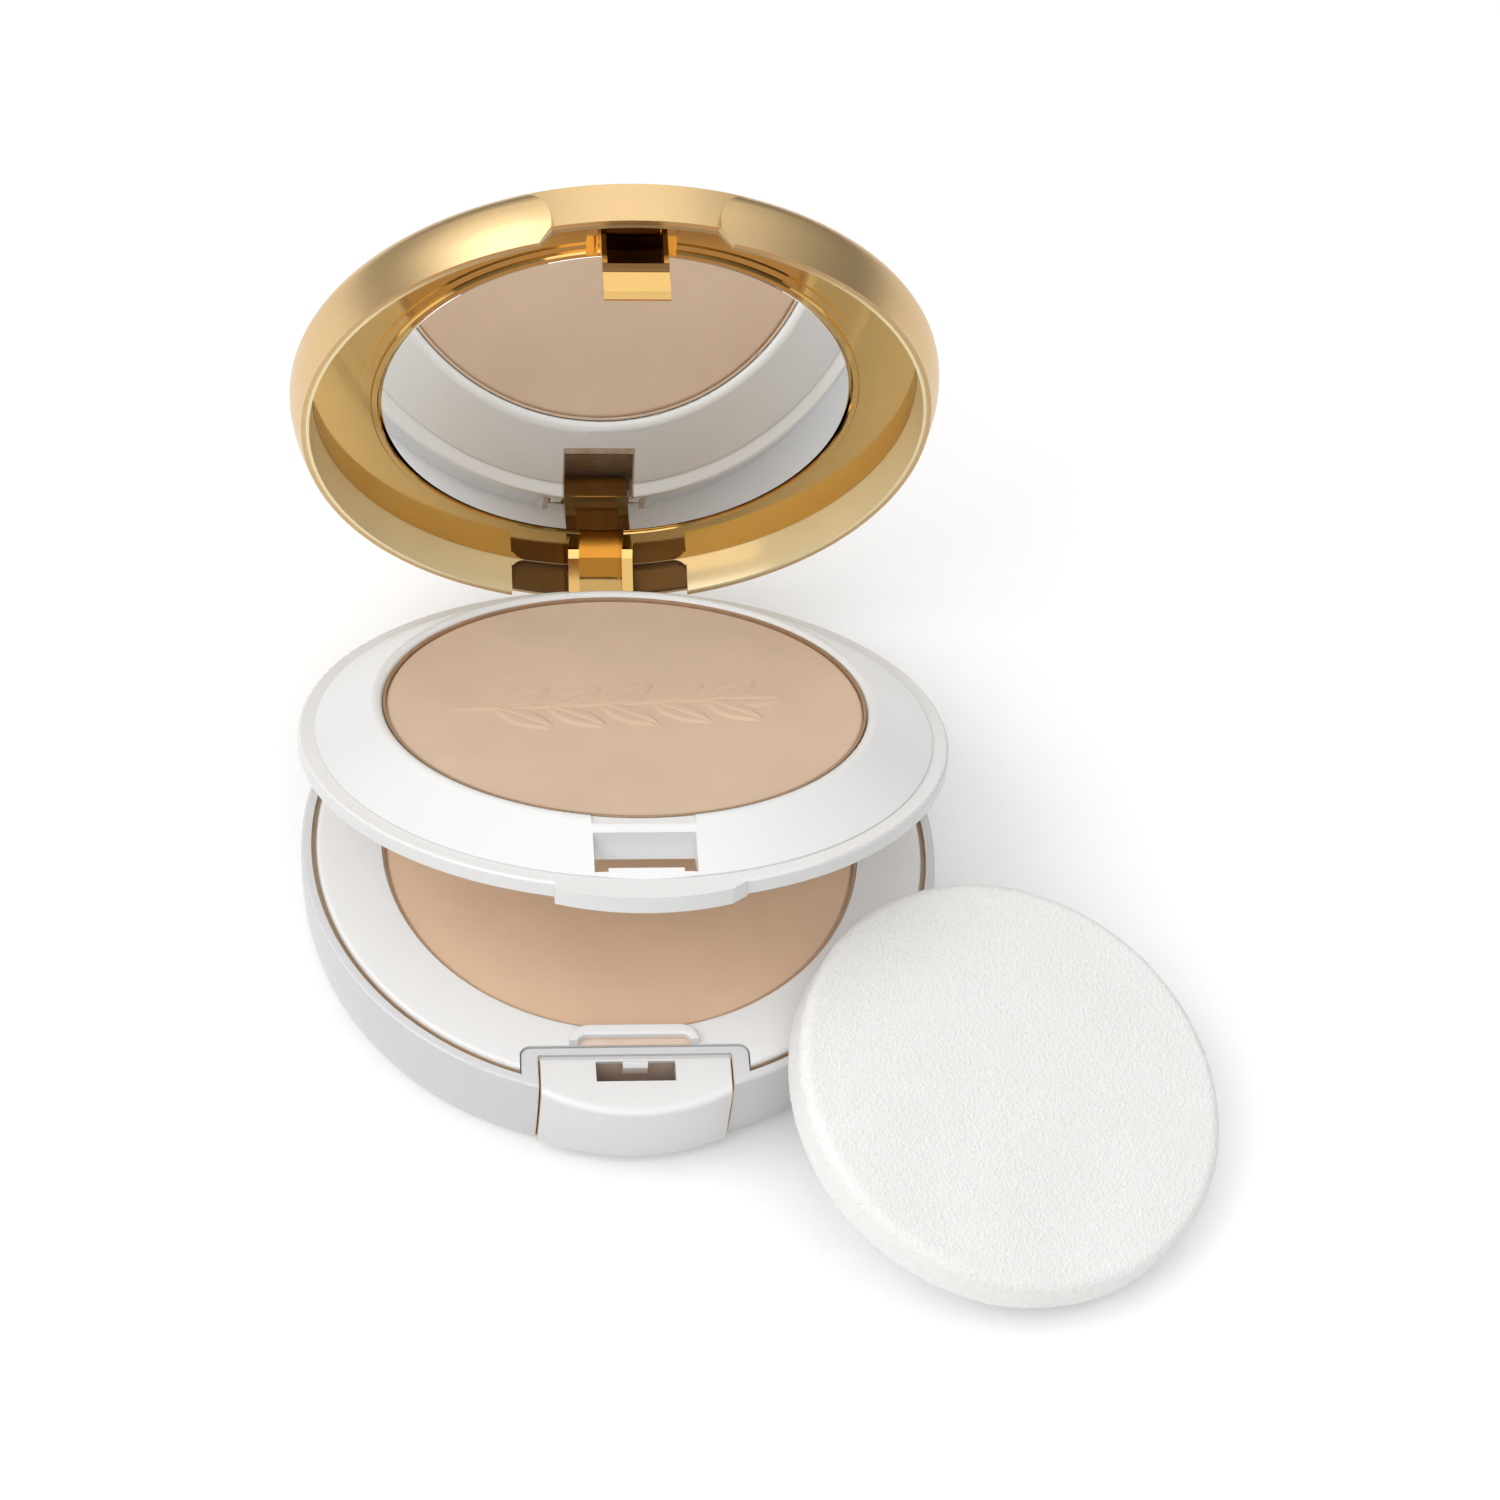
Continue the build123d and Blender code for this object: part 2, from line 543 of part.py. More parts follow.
    # opening at the back for the lid arm
    with BuildSketch(Plane.XY.offset(RIM_Z)):
        with Locations((0, ARM_NOTCH_Y)):
            Rectangle(2 * ARM_NOTCH_HALF, BASE_R, align=(Align.CENTER, Align.MIN))
    extrude(amount=CREST_Z, mode=Mode.SUBTRACT)
    # hinge arms either side of it
    for side in (1, -1):
        with BuildSketch(Plane.YZ.offset(side * TRAY_KNUCKLE_IN)):
            with Locations((HINGE_Y, HINGE_Z)):
                Circle(KNUCKLE_R)
            with BuildLine():
                Polyline(
                    (HINGE_Y - KNUCKLE_R + SLACK, HINGE_Z),
                    (HINGE_Y - KNUCKLE_R + SLACK, TRAY_ARM_Z),
                    (TRAY_ARM_REAR_Y[0], TRAY_ARM_Z),
                    (TRAY_ARM_REAR_Y[1], FLANGE_Z),
                    (HINGE_Y + KNUCKLE_R - SLACK, HINGE_Z),
                    close=True,
                )
            make_face()
        extrude(amount=side * (TRAY_KNUCKLE_OUT - TRAY_KNUCKLE_IN))
    with BuildSketch(Plane.YZ.offset(-(TRAY_KNUCKLE_OUT + 1))):
        with Locations((HINGE_Y, HINGE_Z)):
            Circle(PIN_BORE_R)
    extrude(amount=2 * (TRAY_KNUCKLE_OUT + 1), mode=Mode.SUBTRACT)
save(tray_frame.part, "tray_frame", TRAY_OPEN)

# -------------------------------------------------------------- tray_underplate
with BuildPart() as tray_underplate:
    with BuildSketch(Plane.XY.offset(UNDERPLATE_Z)):
        Circle(TRAY_RECESS_R - SLACK)
        with Locations((0, LIP_Y + LIP_CLEAR[1])):
            Rectangle(2 * (LIP_HALF + LIP_CLEAR[0]), BASE_R, align=(Align.CENTER, Align.MAX), mode=Mode.SUBTRACT)
        with Locations((0, ARM_NOTCH_Y - ARM_CLEAR[1])):
            Rectangle(2 * (TRAY_KNUCKLE_OUT + ARM_CLEAR[0]), BASE_R, align=(Align.CENTER, Align.MIN), mode=Mode.SUBTRACT)
    extrude(amount=TRAY_SEAT_Z - UNDERPLATE_Z)
save(tray_underplate.part, "tray_underplate", TRAY_OPEN)

# -------------------------------------------------------------------- hinge_pin
with BuildPart() as hinge_pin:
    with BuildSketch(Plane.YZ.offset(-PIN_HALF)):
        with Locations((HINGE_Y, HINGE_Z)):
            Circle(PIN_R)
    extrude(amount=2 * PIN_HALF)
save(hinge_pin.part, "hinge_pin")

# -------------------------------------------------------------------- lid_shell
with BuildPart() as rear_pocket:
    with BuildSketch(Plane.XZ.offset(-WALL_CUT_Y)):
        with Locations((0, LID_FLOOR_Z)):
            RectangleRounded(2 * REAR_CUT_HALF, LID_H, REAR_CUT_R, align=(Align.CENTER, Align.MAX))
    extrude(amount=-WALL_CUT)
    with BuildSketch(Plane.XY):
        Circle(REAR_CUT_DEEP_R)
    extrude(amount=LID_TOP_Z, mode=Mode.INTERSECT)

with BuildPart() as thumb_scoop:
    with BuildSketch(Plane.XZ.offset(WALL_CUT_Y)):
        for side in (1, -1):
            with BuildLine():
                end = EllipticalCenterArc(
                    (side * (SCOOP_HALF + SCOOP_FLARE[0]), LID_RIM_Z + SCOOP_FLARE_Z),
                    *SCOOP_FLARE,
                    start_angle=90,
                    arc_size=side * 90,
                )
                Polyline(
                    end @ 1,
                    (side * SCOOP_HALF, LID_RIM_Z - GAP),
                    (0, LID_RIM_Z - GAP),
                    (0, LID_TOP_Z),
                    (side * (SCOOP_HALF + SCOOP_FLARE[0]), LID_TOP_Z),
                    end @ 0,
                )
            make_face()
    extrude(amount=WALL_CUT)
    with BuildSketch(Plane.XY):
        Circle(SCOOP_R)
    extrude(amount=2 * LID_TOP_Z, mode=Mode.SUBTRACT)

with BuildPart() as lid_shell:
    with BuildSketch(Plane.XZ):
        with BuildLine():
            shoulder = EllipticalCenterArc(
                (LID_BULGE_R - LID_SHOULDER_A, LID_TOP_Z - LID_SHOULDER_B),
                LID_SHOULDER_A,
                LID_SHOULDER_B,
                start_angle=0,
                arc_size=90,
            )
            Spline((LID_RIM_R, LID_RIM_Z), shoulder @ 0, tangents=((0.35, 1), (0, 1)))
            Polyline(
                shoulder @ 1,
                (0, LID_TOP_Z),
                (0, SHELL_CEILING),
                (SHELL_RIB_R[1], SHELL_CEILING),
                (LID_INNER_R, BACKPLATE_TOP - 0.1),
                (LID_INNER_R, LID_FLOOR_Z - 0.05),
                (LID_RIM_INNER_R, LID_RIM_Z),
                (LID_RIM_R, LID_RIM_Z),
            )
        make_face()
    revolve(axis=Axis.Z)
    # thumb notch: a raised length of rim with sloped ends
    with BuildSketch(Plane.XZ.offset(WALL_CUT_Y)):
        with BuildLine():
            Polyline(
                (-NOTCH_HALF - NOTCH_SLOPE, LID_RIM_Z - 1),
                (-NOTCH_HALF - NOTCH_SLOPE, LID_RIM_Z),
                (-NOTCH_HALF, LID_RIM_Z + NOTCH_H),
                (NOTCH_HALF, LID_RIM_Z + NOTCH_H),
                (NOTCH_HALF + NOTCH_SLOPE, LID_RIM_Z),
                (NOTCH_HALF + NOTCH_SLOPE, LID_RIM_Z - 1),
                close=True,
            )
        make_face()
    extrude(amount=WALL_CUT, mode=Mode.SUBTRACT)
    add(thumb_scoop.part, mode=Mode.SUBTRACT)
    # round the hinge the rear wall is thinned from inside, and open lower down
    add(rear_pocket.part, mode=Mode.SUBTRACT)
    with BuildSketch(Plane.XZ.offset(-WALL_CUT_Y)):
        with Locations((0, REAR_CUT_Z)):
            Rectangle(2 * REAR_CUT_HALF, 2 * REAR_CUT_R + LID_H, align=(Align.CENTER, Align.MAX))
    extrude(amount=-WALL_CUT, mode=Mode.SUBTRACT)
save(lid_shell.part, "lid_shell", LID_OPEN)

# -------------------------------------------------------------------- lid_frame
with BuildPart() as lid_frame:
    with BuildSketch(Plane.XZ):
        with BuildLine():
            Polyline(
                (PAN_R, BEZEL_Z + 0.15),
                (PAN_R, BACKPLATE_Z),
                (0, BACKPLATE_Z),
                (0, BACKPLATE_TOP),
                (SHELL_RIB_R[0], BACKPLATE_TOP),
                (SHELL_RIB_R[0], SHELL_CEILING - SLACK),
                (SHELL_RIB_R[1], SHELL_CEILING - SLACK),
                (SHELL_RIB_R[1], BACKPLATE_TOP),
                (BACKPLATE_R, BACKPLATE_TOP),
                (LID_INNER_R - SLACK, BACKPLATE_Z),
                (LID_INNER_R - SLACK, LID_FLOOR_Z),
                (BEZEL_R + 1.1, LID_FLOOR_Z),
                (BEZEL_R + 1.1, LID_FLOOR_Z - 0.2),
                (BEZEL_R, LID_FLOOR_Z - 0.2),
                (BEZEL_R, BEZEL_Z + 0.2),
                (BEZEL_R - 0.2, BEZEL_Z),
                (PAN_R + 0.15, BEZEL_Z),
                close=True,
            )
        make_face()
    revolve(axis=Axis.Z)
    # relief pockets either side of the latch hook, and the gap in the bezel
    with BuildSketch(Plane.XY.offset(LID_FLOOR_Z + 0.9)):
        for side_x in (-1, 1):
            with Locations((side_x * (HOOK_HALF + HOOK_SLOT_HALF) / 2, -PAN_R)):
                Rectangle(HOOK_SLOT_HALF - HOOK_HALF, 7.6, align=(Align.CENTER, Align.MAX))
    extrude(amount=-3, mode=Mode.SUBTRACT)
    # seat of the latch hook
    with BuildSketch(Plane.XY.offset(LID_FLOOR_Z + 0.9)):
        with Locations((0, HOOK_FRONT_Y)):
            Rectangle(2 * HOOK_HALF, HOOK_THICK_BACK_Y - HOOK_FRONT_Y, align=(Align.CENTER, Align.MIN))
    extrude(amount=-3, mode=Mode.SUBTRACT)
    # hinge arm: a set-back web between two ribs
    with BuildSketch(Plane.YZ.offset(-LID_KNUCKLE_HALF)):
        with Locations((HINGE_Y, HINGE_Z)):
            Circle(ARM_KNUCKLE_R)
        with BuildLine():
            Polyline(
                (ARM_ROOT_Y, LID_FLOOR_Z + 0.5),
                (ARM_ROOT_Y, BEZEL_Z),
                *ARM_FRONT,
                (HINGE_Y - ARM_KNUCKLE_R + EPS, HINGE_Z),
                (HINGE_Y + ARM_KNUCKLE_R - EPS, HINGE_Z),
                *ARM_REAR,
                close=True,
            )
        make_face()
    extrude(amount=2 * LID_KNUCKLE_HALF)
    with BuildSketch(Plane.YZ.offset(-RIB_IN)):
        with BuildLine():
            Polyline(
                (ARM_ROOT_Y - 1, WEB_FRONT[0][1]),
                *WEB_FRONT,
                (ARM_ROOT_Y + 3, WEB_FRONT[-1][1]),
                (ARM_ROOT_Y - 1, BEZEL_Z - 1),
                close=True,
            )
        make_face()
    extrude(amount=2 * RIB_IN, mode=Mode.SUBTRACT)
    with BuildSketch(Plane.YZ.offset(-(LID_KNUCKLE_HALF + 1))):
        with Locations((HINGE_Y, HINGE_Z)):
            Circle(PIN_BORE_R)
    extrude(amount=2 * (LID_KNUCKLE_HALF + 1), mode=Mode.SUBTRACT)
save(lid_frame.part, "lid_frame", LID_OPEN)

# ------------------------------------------------------------------- latch_hook
with BuildPart() as latch_hook:
    with BuildSketch(Plane.YZ.offset(-HOOK_HALF + SLACK)):
        with BuildLine():
            Polyline(
                (HOOK_FRONT_Y + SLACK, LID_FLOOR_Z + 0.9),
                (HOOK_FRONT_Y + SLACK, HOOK_NOTCH_Z[1]),
                (HOOK_FRONT_Y + HOOK_STEP, HOOK_NOTCH_Z[1] - 0.15),
                (HOOK_FRONT_Y + HOOK_STEP, HOOK_NOTCH_Z[0]),
                (HOOK_FRONT_Y + SLACK, HOOK_NOTCH_Z[0]),
                (HOOK_FRONT_Y + SLACK, HOOK_TIP_Z + 0.9),
                (HOOK_FRONT_Y + 0.4, HOOK_TIP_Z),
                (HOOK_BACK_Y - 0.3, HOOK_TIP_Z),
                (HOOK_BACK_Y, HOOK_TIP_Z + 0.5),
                (HOOK_BACK_Y, HOOK_THICK_Z),
                (HOOK_THICK_BACK_Y - SLACK, HOOK_THICK_Z + 0.6),
                (HOOK_THICK_BACK_Y - SLACK, LID_FLOOR_Z + 0.9),
                close=True,
            )
        make_face()
    extrude(amount=2 * (HOOK_HALF - SLACK))
    with BuildSketch(Plane.XZ.offset(-HOOK_FRONT_Y - HOOK_POCKET_DEEP)):
        with Locations((0, HOOK_POCKET_Z[0])):
            Rectangle(
                2 * HOOK_POCKET_HALF, HOOK_POCKET_Z[1] - HOOK_POCKET_Z[0], align=(Align.CENTER, Align.MIN)
            )
    extrude(amount=2 * HOOK_POCKET_DEEP, mode=Mode.SUBTRACT)
    with BuildSketch(Plane.XZ.offset(-HOOK_BACK_Y - HOOK_STEP)):
        with Locations((0, HOOK_NOTCH_Z[0])):
            Rectangle(2 * HOOK_WINDOW_HALF, HOOK_NOTCH_Z[1] - HOOK_NOTCH_Z[0] - 0.15, align=(Align.CENTER, Align.MIN))
    extrude(amount=HOOK_BACK_Y + HOOK_STEP - HOOK_WINDOW_FRONT_Y, mode=Mode.SUBTRACT)
save(latch_hook.part, "latch_hook", LID_OPEN)

# ------------------------------------------------------- mirror and its adhesive
with BuildPart() as mirror:
    with BuildSketch(Plane.XY.offset(MIRROR_Z)):
        Circle(MIRROR_R)
    extrude(amount=MIRROR_T)
    chamfer(mirror.faces().sort_by(Axis.Z)[0].edges(), 0.25)
save(mirror.part, "mirror", LID_OPEN)
save(glue_disc(MIRROR_Z + MIRROR_T, GLUE_R, BACKPLATE_Z - MIRROR_Z - MIRROR_T), "mirror_adhesive", LID_OPEN)

# ------------------------------------------------------------------ sponge_puff
tilt = radians(SPONGE_TILT)
turn_a = radians(SPONGE_TURN)
face = (sin(tilt) * cos(turn_a), sin(tilt) * sin(turn_a), cos(tilt))
lowest = (SPONGE_R - SPONGE_EDGE_R) * sin(tilt) + (SPONGE_T / 2 - SPONGE_EDGE_R) * cos(tilt) + SPONGE_EDGE_R
sponge_plane = Plane(origin=(SPONGE_X, SPONGE_Y, lowest + 0.02), z_dir=face)
with BuildPart() as sponge_puff:
    with BuildSketch(sponge_plane.offset(-SPONGE_T / 2)):
        Circle(SPONGE_R)
    extrude(amount=SPONGE_T)
    fillet(sponge_puff.edges().filter_by(GeomType.CIRCLE), SPONGE_EDGE_R)
    # cut off straight where the soft edge would lie under the closing tiers
    bearing = degrees(atan2(SPONGE_Y, SPONGE_X))
    split(bisect_by=Plane.YZ.rotated((0, 0, bearing)).offset(SPONGE_TRIM_R), keep=Keep.TOP)
save(sponge_puff.part, "sponge_puff")
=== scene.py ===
import json
from math import cos, pi, radians, sin

import bpy
import numpy as np
from mathutils import Matrix, Vector, noise


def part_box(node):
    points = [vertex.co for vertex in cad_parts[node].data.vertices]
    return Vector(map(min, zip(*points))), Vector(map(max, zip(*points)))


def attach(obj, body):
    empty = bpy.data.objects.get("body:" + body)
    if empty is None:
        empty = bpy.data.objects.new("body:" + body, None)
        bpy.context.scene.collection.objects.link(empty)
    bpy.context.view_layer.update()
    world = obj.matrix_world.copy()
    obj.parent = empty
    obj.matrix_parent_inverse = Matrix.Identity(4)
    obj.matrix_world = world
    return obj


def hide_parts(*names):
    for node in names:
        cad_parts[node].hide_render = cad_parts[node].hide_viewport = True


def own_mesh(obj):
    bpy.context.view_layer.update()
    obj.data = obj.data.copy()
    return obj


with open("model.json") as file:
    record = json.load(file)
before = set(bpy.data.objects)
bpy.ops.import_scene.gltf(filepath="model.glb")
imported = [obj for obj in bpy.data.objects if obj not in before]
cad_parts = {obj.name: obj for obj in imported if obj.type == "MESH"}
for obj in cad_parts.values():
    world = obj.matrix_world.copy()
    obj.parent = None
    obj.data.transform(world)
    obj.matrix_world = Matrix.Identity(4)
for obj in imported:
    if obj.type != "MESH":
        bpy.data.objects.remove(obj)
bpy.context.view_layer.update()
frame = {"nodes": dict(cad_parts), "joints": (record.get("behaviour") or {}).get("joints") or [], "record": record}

# Visual model of a two-tier powder compact with a sponge puff, in metres, in the
# row frame: origin under the base, front towards -Y, +Z up.

MM = 0.001

# ------------------------------------------------------------------ hinge poses
joints = {j["name"]: j for j in frame["joints"]}
HINGE = Vector(joints["tray_hinge"]["pos_m"])
TRAY_OPEN = -joints["tray_hinge"]["range_deg"][0]
LID_OPEN = TRAY_OPEN - joints["lid_hinge"]["range_deg"][0]


def opened(angle_deg):
    """Matrix that takes a closed point to where it is with the tier standing open."""
    turn = Matrix.Rotation(radians(-angle_deg), 4, "X")
    return Matrix.Translation(HINGE) @ turn @ Matrix.Translation(-HINGE)


def closed_box(node, angle_deg):
    """Corners of a CAD node with its tier closed."""
    back = np.array(opened(angle_deg).inverted())
    points = np.array([v.co[:] for v in frame["nodes"][node].data.vertices])
    points = points @ back[:3, :3].T + back[:3, 3]
    return points.min(0), points.max(0)


# --------------------------------------------------------------- node materials
class Shader:
    """A Principled material and short calls for the nodes that feed it."""

    def __init__(self, name):
        self.material = bpy.data.materials.new(name)
        self.material.use_nodes = True
        self.tree = self.material.node_tree
        self.bsdf = self.tree.nodes["Principled BSDF"]
        texture = self.tree.nodes.new("ShaderNodeTexCoord")
        self.coords = texture.outputs["Object"]
        self.normal = texture.outputs["Normal"]

    def link(self, source, socket):
        self.tree.links.new(source, socket)

    def put(self, socket, value):
        if isinstance(value, bpy.types.NodeSocket):
            self.link(value, socket)
        elif isinstance(value, (tuple, list)) and len(value) == 3 and socket.type == "RGBA":
            socket.default_value = (*value, 1.0)
        else:
            socket.default_value = value

    def set(self, **inputs):
        for name, value in inputs.items():
            self.put(self.bsdf.inputs[name.replace("_", " ")], value)

    def math(self, operation, *values):
        node = self.tree.nodes.new("ShaderNodeMath")
        node.operation = operation
        for socket, value in zip(node.inputs, values):
            self.put(socket, value)
        return node.outputs[0]

    def noise(self, scale, detail=3.0, roughness=0.55):
        node = self.tree.nodes.new("ShaderNodeTexNoise")
        self.link(self.coords, node.inputs["Vector"])
        node.inputs["Scale"].default_value = scale
        node.inputs["Detail"].default_value = detail
        node.inputs["Roughness"].default_value = roughness
        return node.outputs["Fac"]

    def cells(self, scale):
        node = self.tree.nodes.new("ShaderNodeTexVoronoi")
        self.link(self.coords, node.inputs["Vector"])
        node.inputs["Scale"].default_value = scale
        return node.outputs["Distance"]

    def remap(self, value, low, high, new_low, new_high):
        """The value's range low..high stretched to new_low..new_high, clamped at both ends."""
        node = self.tree.nodes.new("ShaderNodeMapRange")
        for socket, number in zip(node.inputs, (value, low, high, new_low, new_high)):
            self.put(socket, number)
        return node.outputs["Result"]

    def mix(self, factor, first, second):
        node = self.tree.nodes.new("ShaderNodeMix")
        node.data_type = "RGBA"
        self.put(node.inputs["Factor"], factor)
        self.put(node.inputs["A"], first)
        self.put(node.inputs["B"], second)
        return node.outputs["Result"]

    def inside(self, value, low, high):
        """1 where the value lies between the two limits."""
        return self.math(
            "MULTIPLY", self.math("GREATER_THAN", value, low), self.math("LESS_THAN", value, high)
        )

    def bump(self, height, distance, strength=1.0):
        node = self.tree.nodes.new("ShaderNodeBump")
        node.inputs["Distance"].default_value = distance
        node.inputs["Strength"].default_value = strength
        self.put(node.inputs["Height"], height)
        return node.outputs["Normal"]

    def closed_coords(self, angle_deg):
        """Object coordinates turned back to the tier's closed place."""
        node = self.tree.nodes.new("ShaderNodeMapping")
        back = opened(angle_deg).inverted()
        node.inputs["Location"].default_value = back.translation
        node.inputs["Rotation"].default_value = back.to_euler()
        self.link(self.coords, node.inputs["Vector"])
        return node.outputs["Vector"]

    def split(self, vector):
        node = self.tree.nodes.new("ShaderNodeSeparateXYZ")
        self.link(vector, node.inputs[0])
        return node.outputs

    def radius(self, vector):
        """Distance from the upright axis of the closed compact."""
        x, y = self.split(vector)[0:2]
        squares = self.math("ADD", self.math("MULTIPLY", x, x), self.math("MULTIPLY", y, y))
        return self.math("SQRT", squares)


SPREAD = (0.3, 0.7)             # usual range of a noise value
CORE = (0.35, 0.65)             # its middle part, for a stronger pattern

UPRIGHT_PAINTED_SHADE = 0.17                # painted shade: upright walls are painted a little greyer than level faces
WALL_NORMAL = (0.40, 0.75)      # upright part of the normal: a wall below the first, level above the second
WHITE_ROUGH = (0.285, 0.33)
WHITE_BUMP = (0.000002, 0.2)    # height and strength
STAIN_AND_SHADE_SHARE = (0.65, 1.0)       # each stain and each painted shade is patchy between these shares
TRAY_TONE = ((0.80, 0.795, 0.785), (0.835, 0.832, 0.825))
# painted shade on the shell's white and painted light on the plate's white, set apart from the tray's tone for how
# light falls on them
SHELL_SHADED_TONE = ((0.68, 0.68, 0.69), (0.71, 0.71, 0.72))
PLATE_LIT_TONE = ((0.86, 0.855, 0.85), (0.89, 0.887, 0.88))
RESIDUE = (0.62, 0.46, 0.28)    # tan powder in narrow gaps
DUST_AND_SHADE_TINT = (0.74, 0.56, 0.43)  # the same tan powder, thin on open faces; also painted shade down in the button's recess
NOTCH_TINT = (0.42, 0.27, 0.15)  # painted brown reflection of the gold arm in the hinge notch; also used as painted shade round the base's hinge


def white_plastic(name, tone=TRAY_TONE, stains_and_shade=()):
    """Gloss white, painted greyer on upright walls as painted shade; each stain and each painted shade is a colour
    and a function that returns its 0..1 socket.
    """
    s = Shader(name)
    cloud = s.noise(35, 2)
    fine = s.noise(900, 2)
    scuff = s.noise(160, 3, 0.6)
    color = s.mix(cloud, *tone)
    # painted shade: upright faces are painted greyer than level ones
    level = s.math("ABSOLUTE", s.split(s.normal)[2])
    color = s.mix(s.remap(level, *WALL_NORMAL, UPRIGHT_PAINTED_SHADE, 0.0), color, (0.0, 0.0, 0.0))
    for tint, where in stains_and_shade:
        patchy = s.remap(s.noise(420, 4), *SPREAD, *STAIN_AND_SHADE_SHARE)
        color = s.mix(s.math("MULTIPLY", where(s), patchy), color, tint)
    s.set(
        Base_Color=color,
        Roughness=s.remap(scuff, *SPREAD, *WHITE_ROUGH),
        Normal=s.bump(fine, *WHITE_BUMP),
        Coat_Weight=0.2,
        Coat_Roughness=0.1,
        Subsurface_Weight=0.06,
        Subsurface_Radius=(0.004, 0.004, 0.004),
        Subsurface_Scale=0.5,
    )
    return s.material


GROOVE_R = (0.03735, 0.03825)    # groove between the base rim and its insert
GROOVE_Z = (0.0115, 0.01285)
BUTTON_GAP_X = (0.0113, 0.0117)  # upright gaps at the button's sides
POCKET_Y = -0.0330               # the button's pocket lies in front of this
# each box is its x, y and z range
LIP_BOX = ((-0.0068, 0.0068), (-0.0319, -0.0306), (0.0131, 0.0136))
# painted shade in the button's recess
RECESS_BOX = ((-0.0052, 0.0052), (-0.0369, -0.0333), (0.0020, 0.0122))
ARM_NOTCH_BOX = ((-0.0047, 0.0047), (0.0330, 0.0400), (0.0120, 0.0182))
HINGE_BOX = ((-0.0068, 0.0068), (0.0320, 0.0400), (0.0040, 0.0136))


def box_mask(s, vector, box):
    """1 inside an upright box."""
    mask = 1.0
    for socket, (low, high) in zip(s.split(vector), box):
        mask = s.math("MULTIPLY", mask, s.inside(socket, low, high))
    return mask


def base_dust_and_shade(s):
    """Fine powder caught inside the raised lip, and painted shade down in the button's recess."""
    return s.math("MAXIMUM", box_mask(s, s.coords, LIP_BOX), box_mask(s, s.coords, RECESS_BOX))


def hinge_painted_shade(s):
    """Painted brown shade round the base's hinge knuckles."""
    return box_mask(s, s.coords, HINGE_BOX)


def notch_painted_reflection(s):
    """Painted brown reflection of the gold arm in the tray's notch for the lid's arm."""
    return box_mask(s, s.closed_coords(TRAY_OPEN), ARM_NOTCH_BOX)


def base_stain(s):
    """Tan powder residue in the groove and in the button's side gaps."""
    x, y, z = s.split(s.coords)
    r = s.radius(s.coords)
    groove = s.inside(r, *GROOVE_R)
    groove = s.math("MULTIPLY", groove, s.inside(z, *GROOVE_Z))
    gap = s.inside(s.math("ABSOLUTE", x), *BUTTON_GAP_X)
    gap = s.math("MULTIPLY", gap, s.math("LESS_THAN", y, POCKET_Y))
    return s.math("MAXIMUM", groove, gap)


GOLD_LOW = (0.62, 0.395, 0.135)
GOLD_HIGH = (0.70, 0.455, 0.165)
GOLD_DARK = (0.16, 0.085, 0.03)     # painted shade in pockets of the gold parts and on the frame's front
GOLD_SHADE = (0.30, 0.17, 0.06)     # shade on the wall towards the lid's front
GOLD_SMUDGE = (0.3, 0.75)           # range of the noise that smudges it
GOLD_ROUGH = (0.06, 0.11)
GOLD_BUMP = (0.000002, 0.15)


def polished_gold(name, pocket=None):
    """Electroplated gold; pocket returns a 0..1 socket where painted shade turns it dark brown."""
    s = Shader(name)
    smudge = s.noise(90, 4, 0.6)
    fine = s.noise(700, 2)
    color = s.mix(smudge, GOLD_LOW, GOLD_HIGH)
    if pocket:
        # painted shade: dark brown where the mask is
        color = s.mix(pocket(s), color, GOLD_DARK)
    s.set(
        Base_Color=color,
        Metallic=1.0,
        Roughness=s.remap(smudge, *GOLD_SMUDGE, *GOLD_ROUGH),
        Normal=s.bump(fine, *GOLD_BUMP),
    )
    return s.material


HOOK_POCKET_BOX = ((-0.0033, 0.0033), (-0.0350, -0.0330), (0.0141, 0.0200))
HOOK_BAND_BOX = ((-0.0041, 0.0041), (-0.0360, -0.0330), (0.0128, 0.0141))
INNER_WALL_R = 0.0385               # the lid is polished inside this radius
INNER_WALL_H = 0.0088               # and up to this height over its rim
REAR_POCKET_R = (0.0377, 0.0390)    # pocket in the lid's rear wall round the hinge arm
REAR_POCKET_HALF = 0.0115
REAR_POCKET_TOP = 0.0201
REAR_POCKET_Y = 0.030
FRAME_SHADE_Y = (-0.0370, -0.0305)
FRAME_SHADE = 0.7
WALL_SHADE_Y = (-0.037, -0.022)
WALL_SHADE = 0.85
SATIN_TONE = ((0.70, 0.49, 0.245), (0.72, 0.51, 0.26))
SATIN_ROUGH = (0.285, 0.34)
INNER_REFLECTION_TONE = ((0.96, 0.80, 0.47), (0.98, 0.84, 0.51))
INNER_ROUGH = (0.16, 0.21)
LID_METAL = (0.93, 0.2)             # satin outside; polished but mostly non-metal inside, under the painted reflection colour
LID_BUMP = (0.000001, 0.2)


def hook_pocket(s):
    """Painted shade in the hook's blind pocket and on the band below it."""
    closed = s.closed_coords(LID_OPEN)
    return s.math("MAXIMUM", box_mask(s, closed, HOOK_POCKET_BOX), box_mask(s, closed, HOOK_BAND_BOX))


def frame_shade(s):
    """The frame darkens between the bezel and the wall at the lid's front."""
    y = s.split(s.closed_coords(LID_OPEN))[1]
    return s.remap(y, *FRAME_SHADE_Y, FRAME_SHADE, 0.0)


def rear_pocket(s, closed):
    """The pocket in the lid's rear wall, in closed coordinates, where it is painted dark as painted shade."""
    x, y, z = s.split(closed)
    mask = s.inside(s.radius(closed), *REAR_POCKET_R)
    for part in (
        s.math("LESS_THAN", s.math("ABSOLUTE", x), REAR_POCKET_HALF),
        s.math("GREATER_THAN", y, REAR_POCKET_Y),
        s.math("LESS_THAN", z, REAR_POCKET_TOP),
    ):
        mask = s.math("MULTIPLY", mask, part)
    return mask


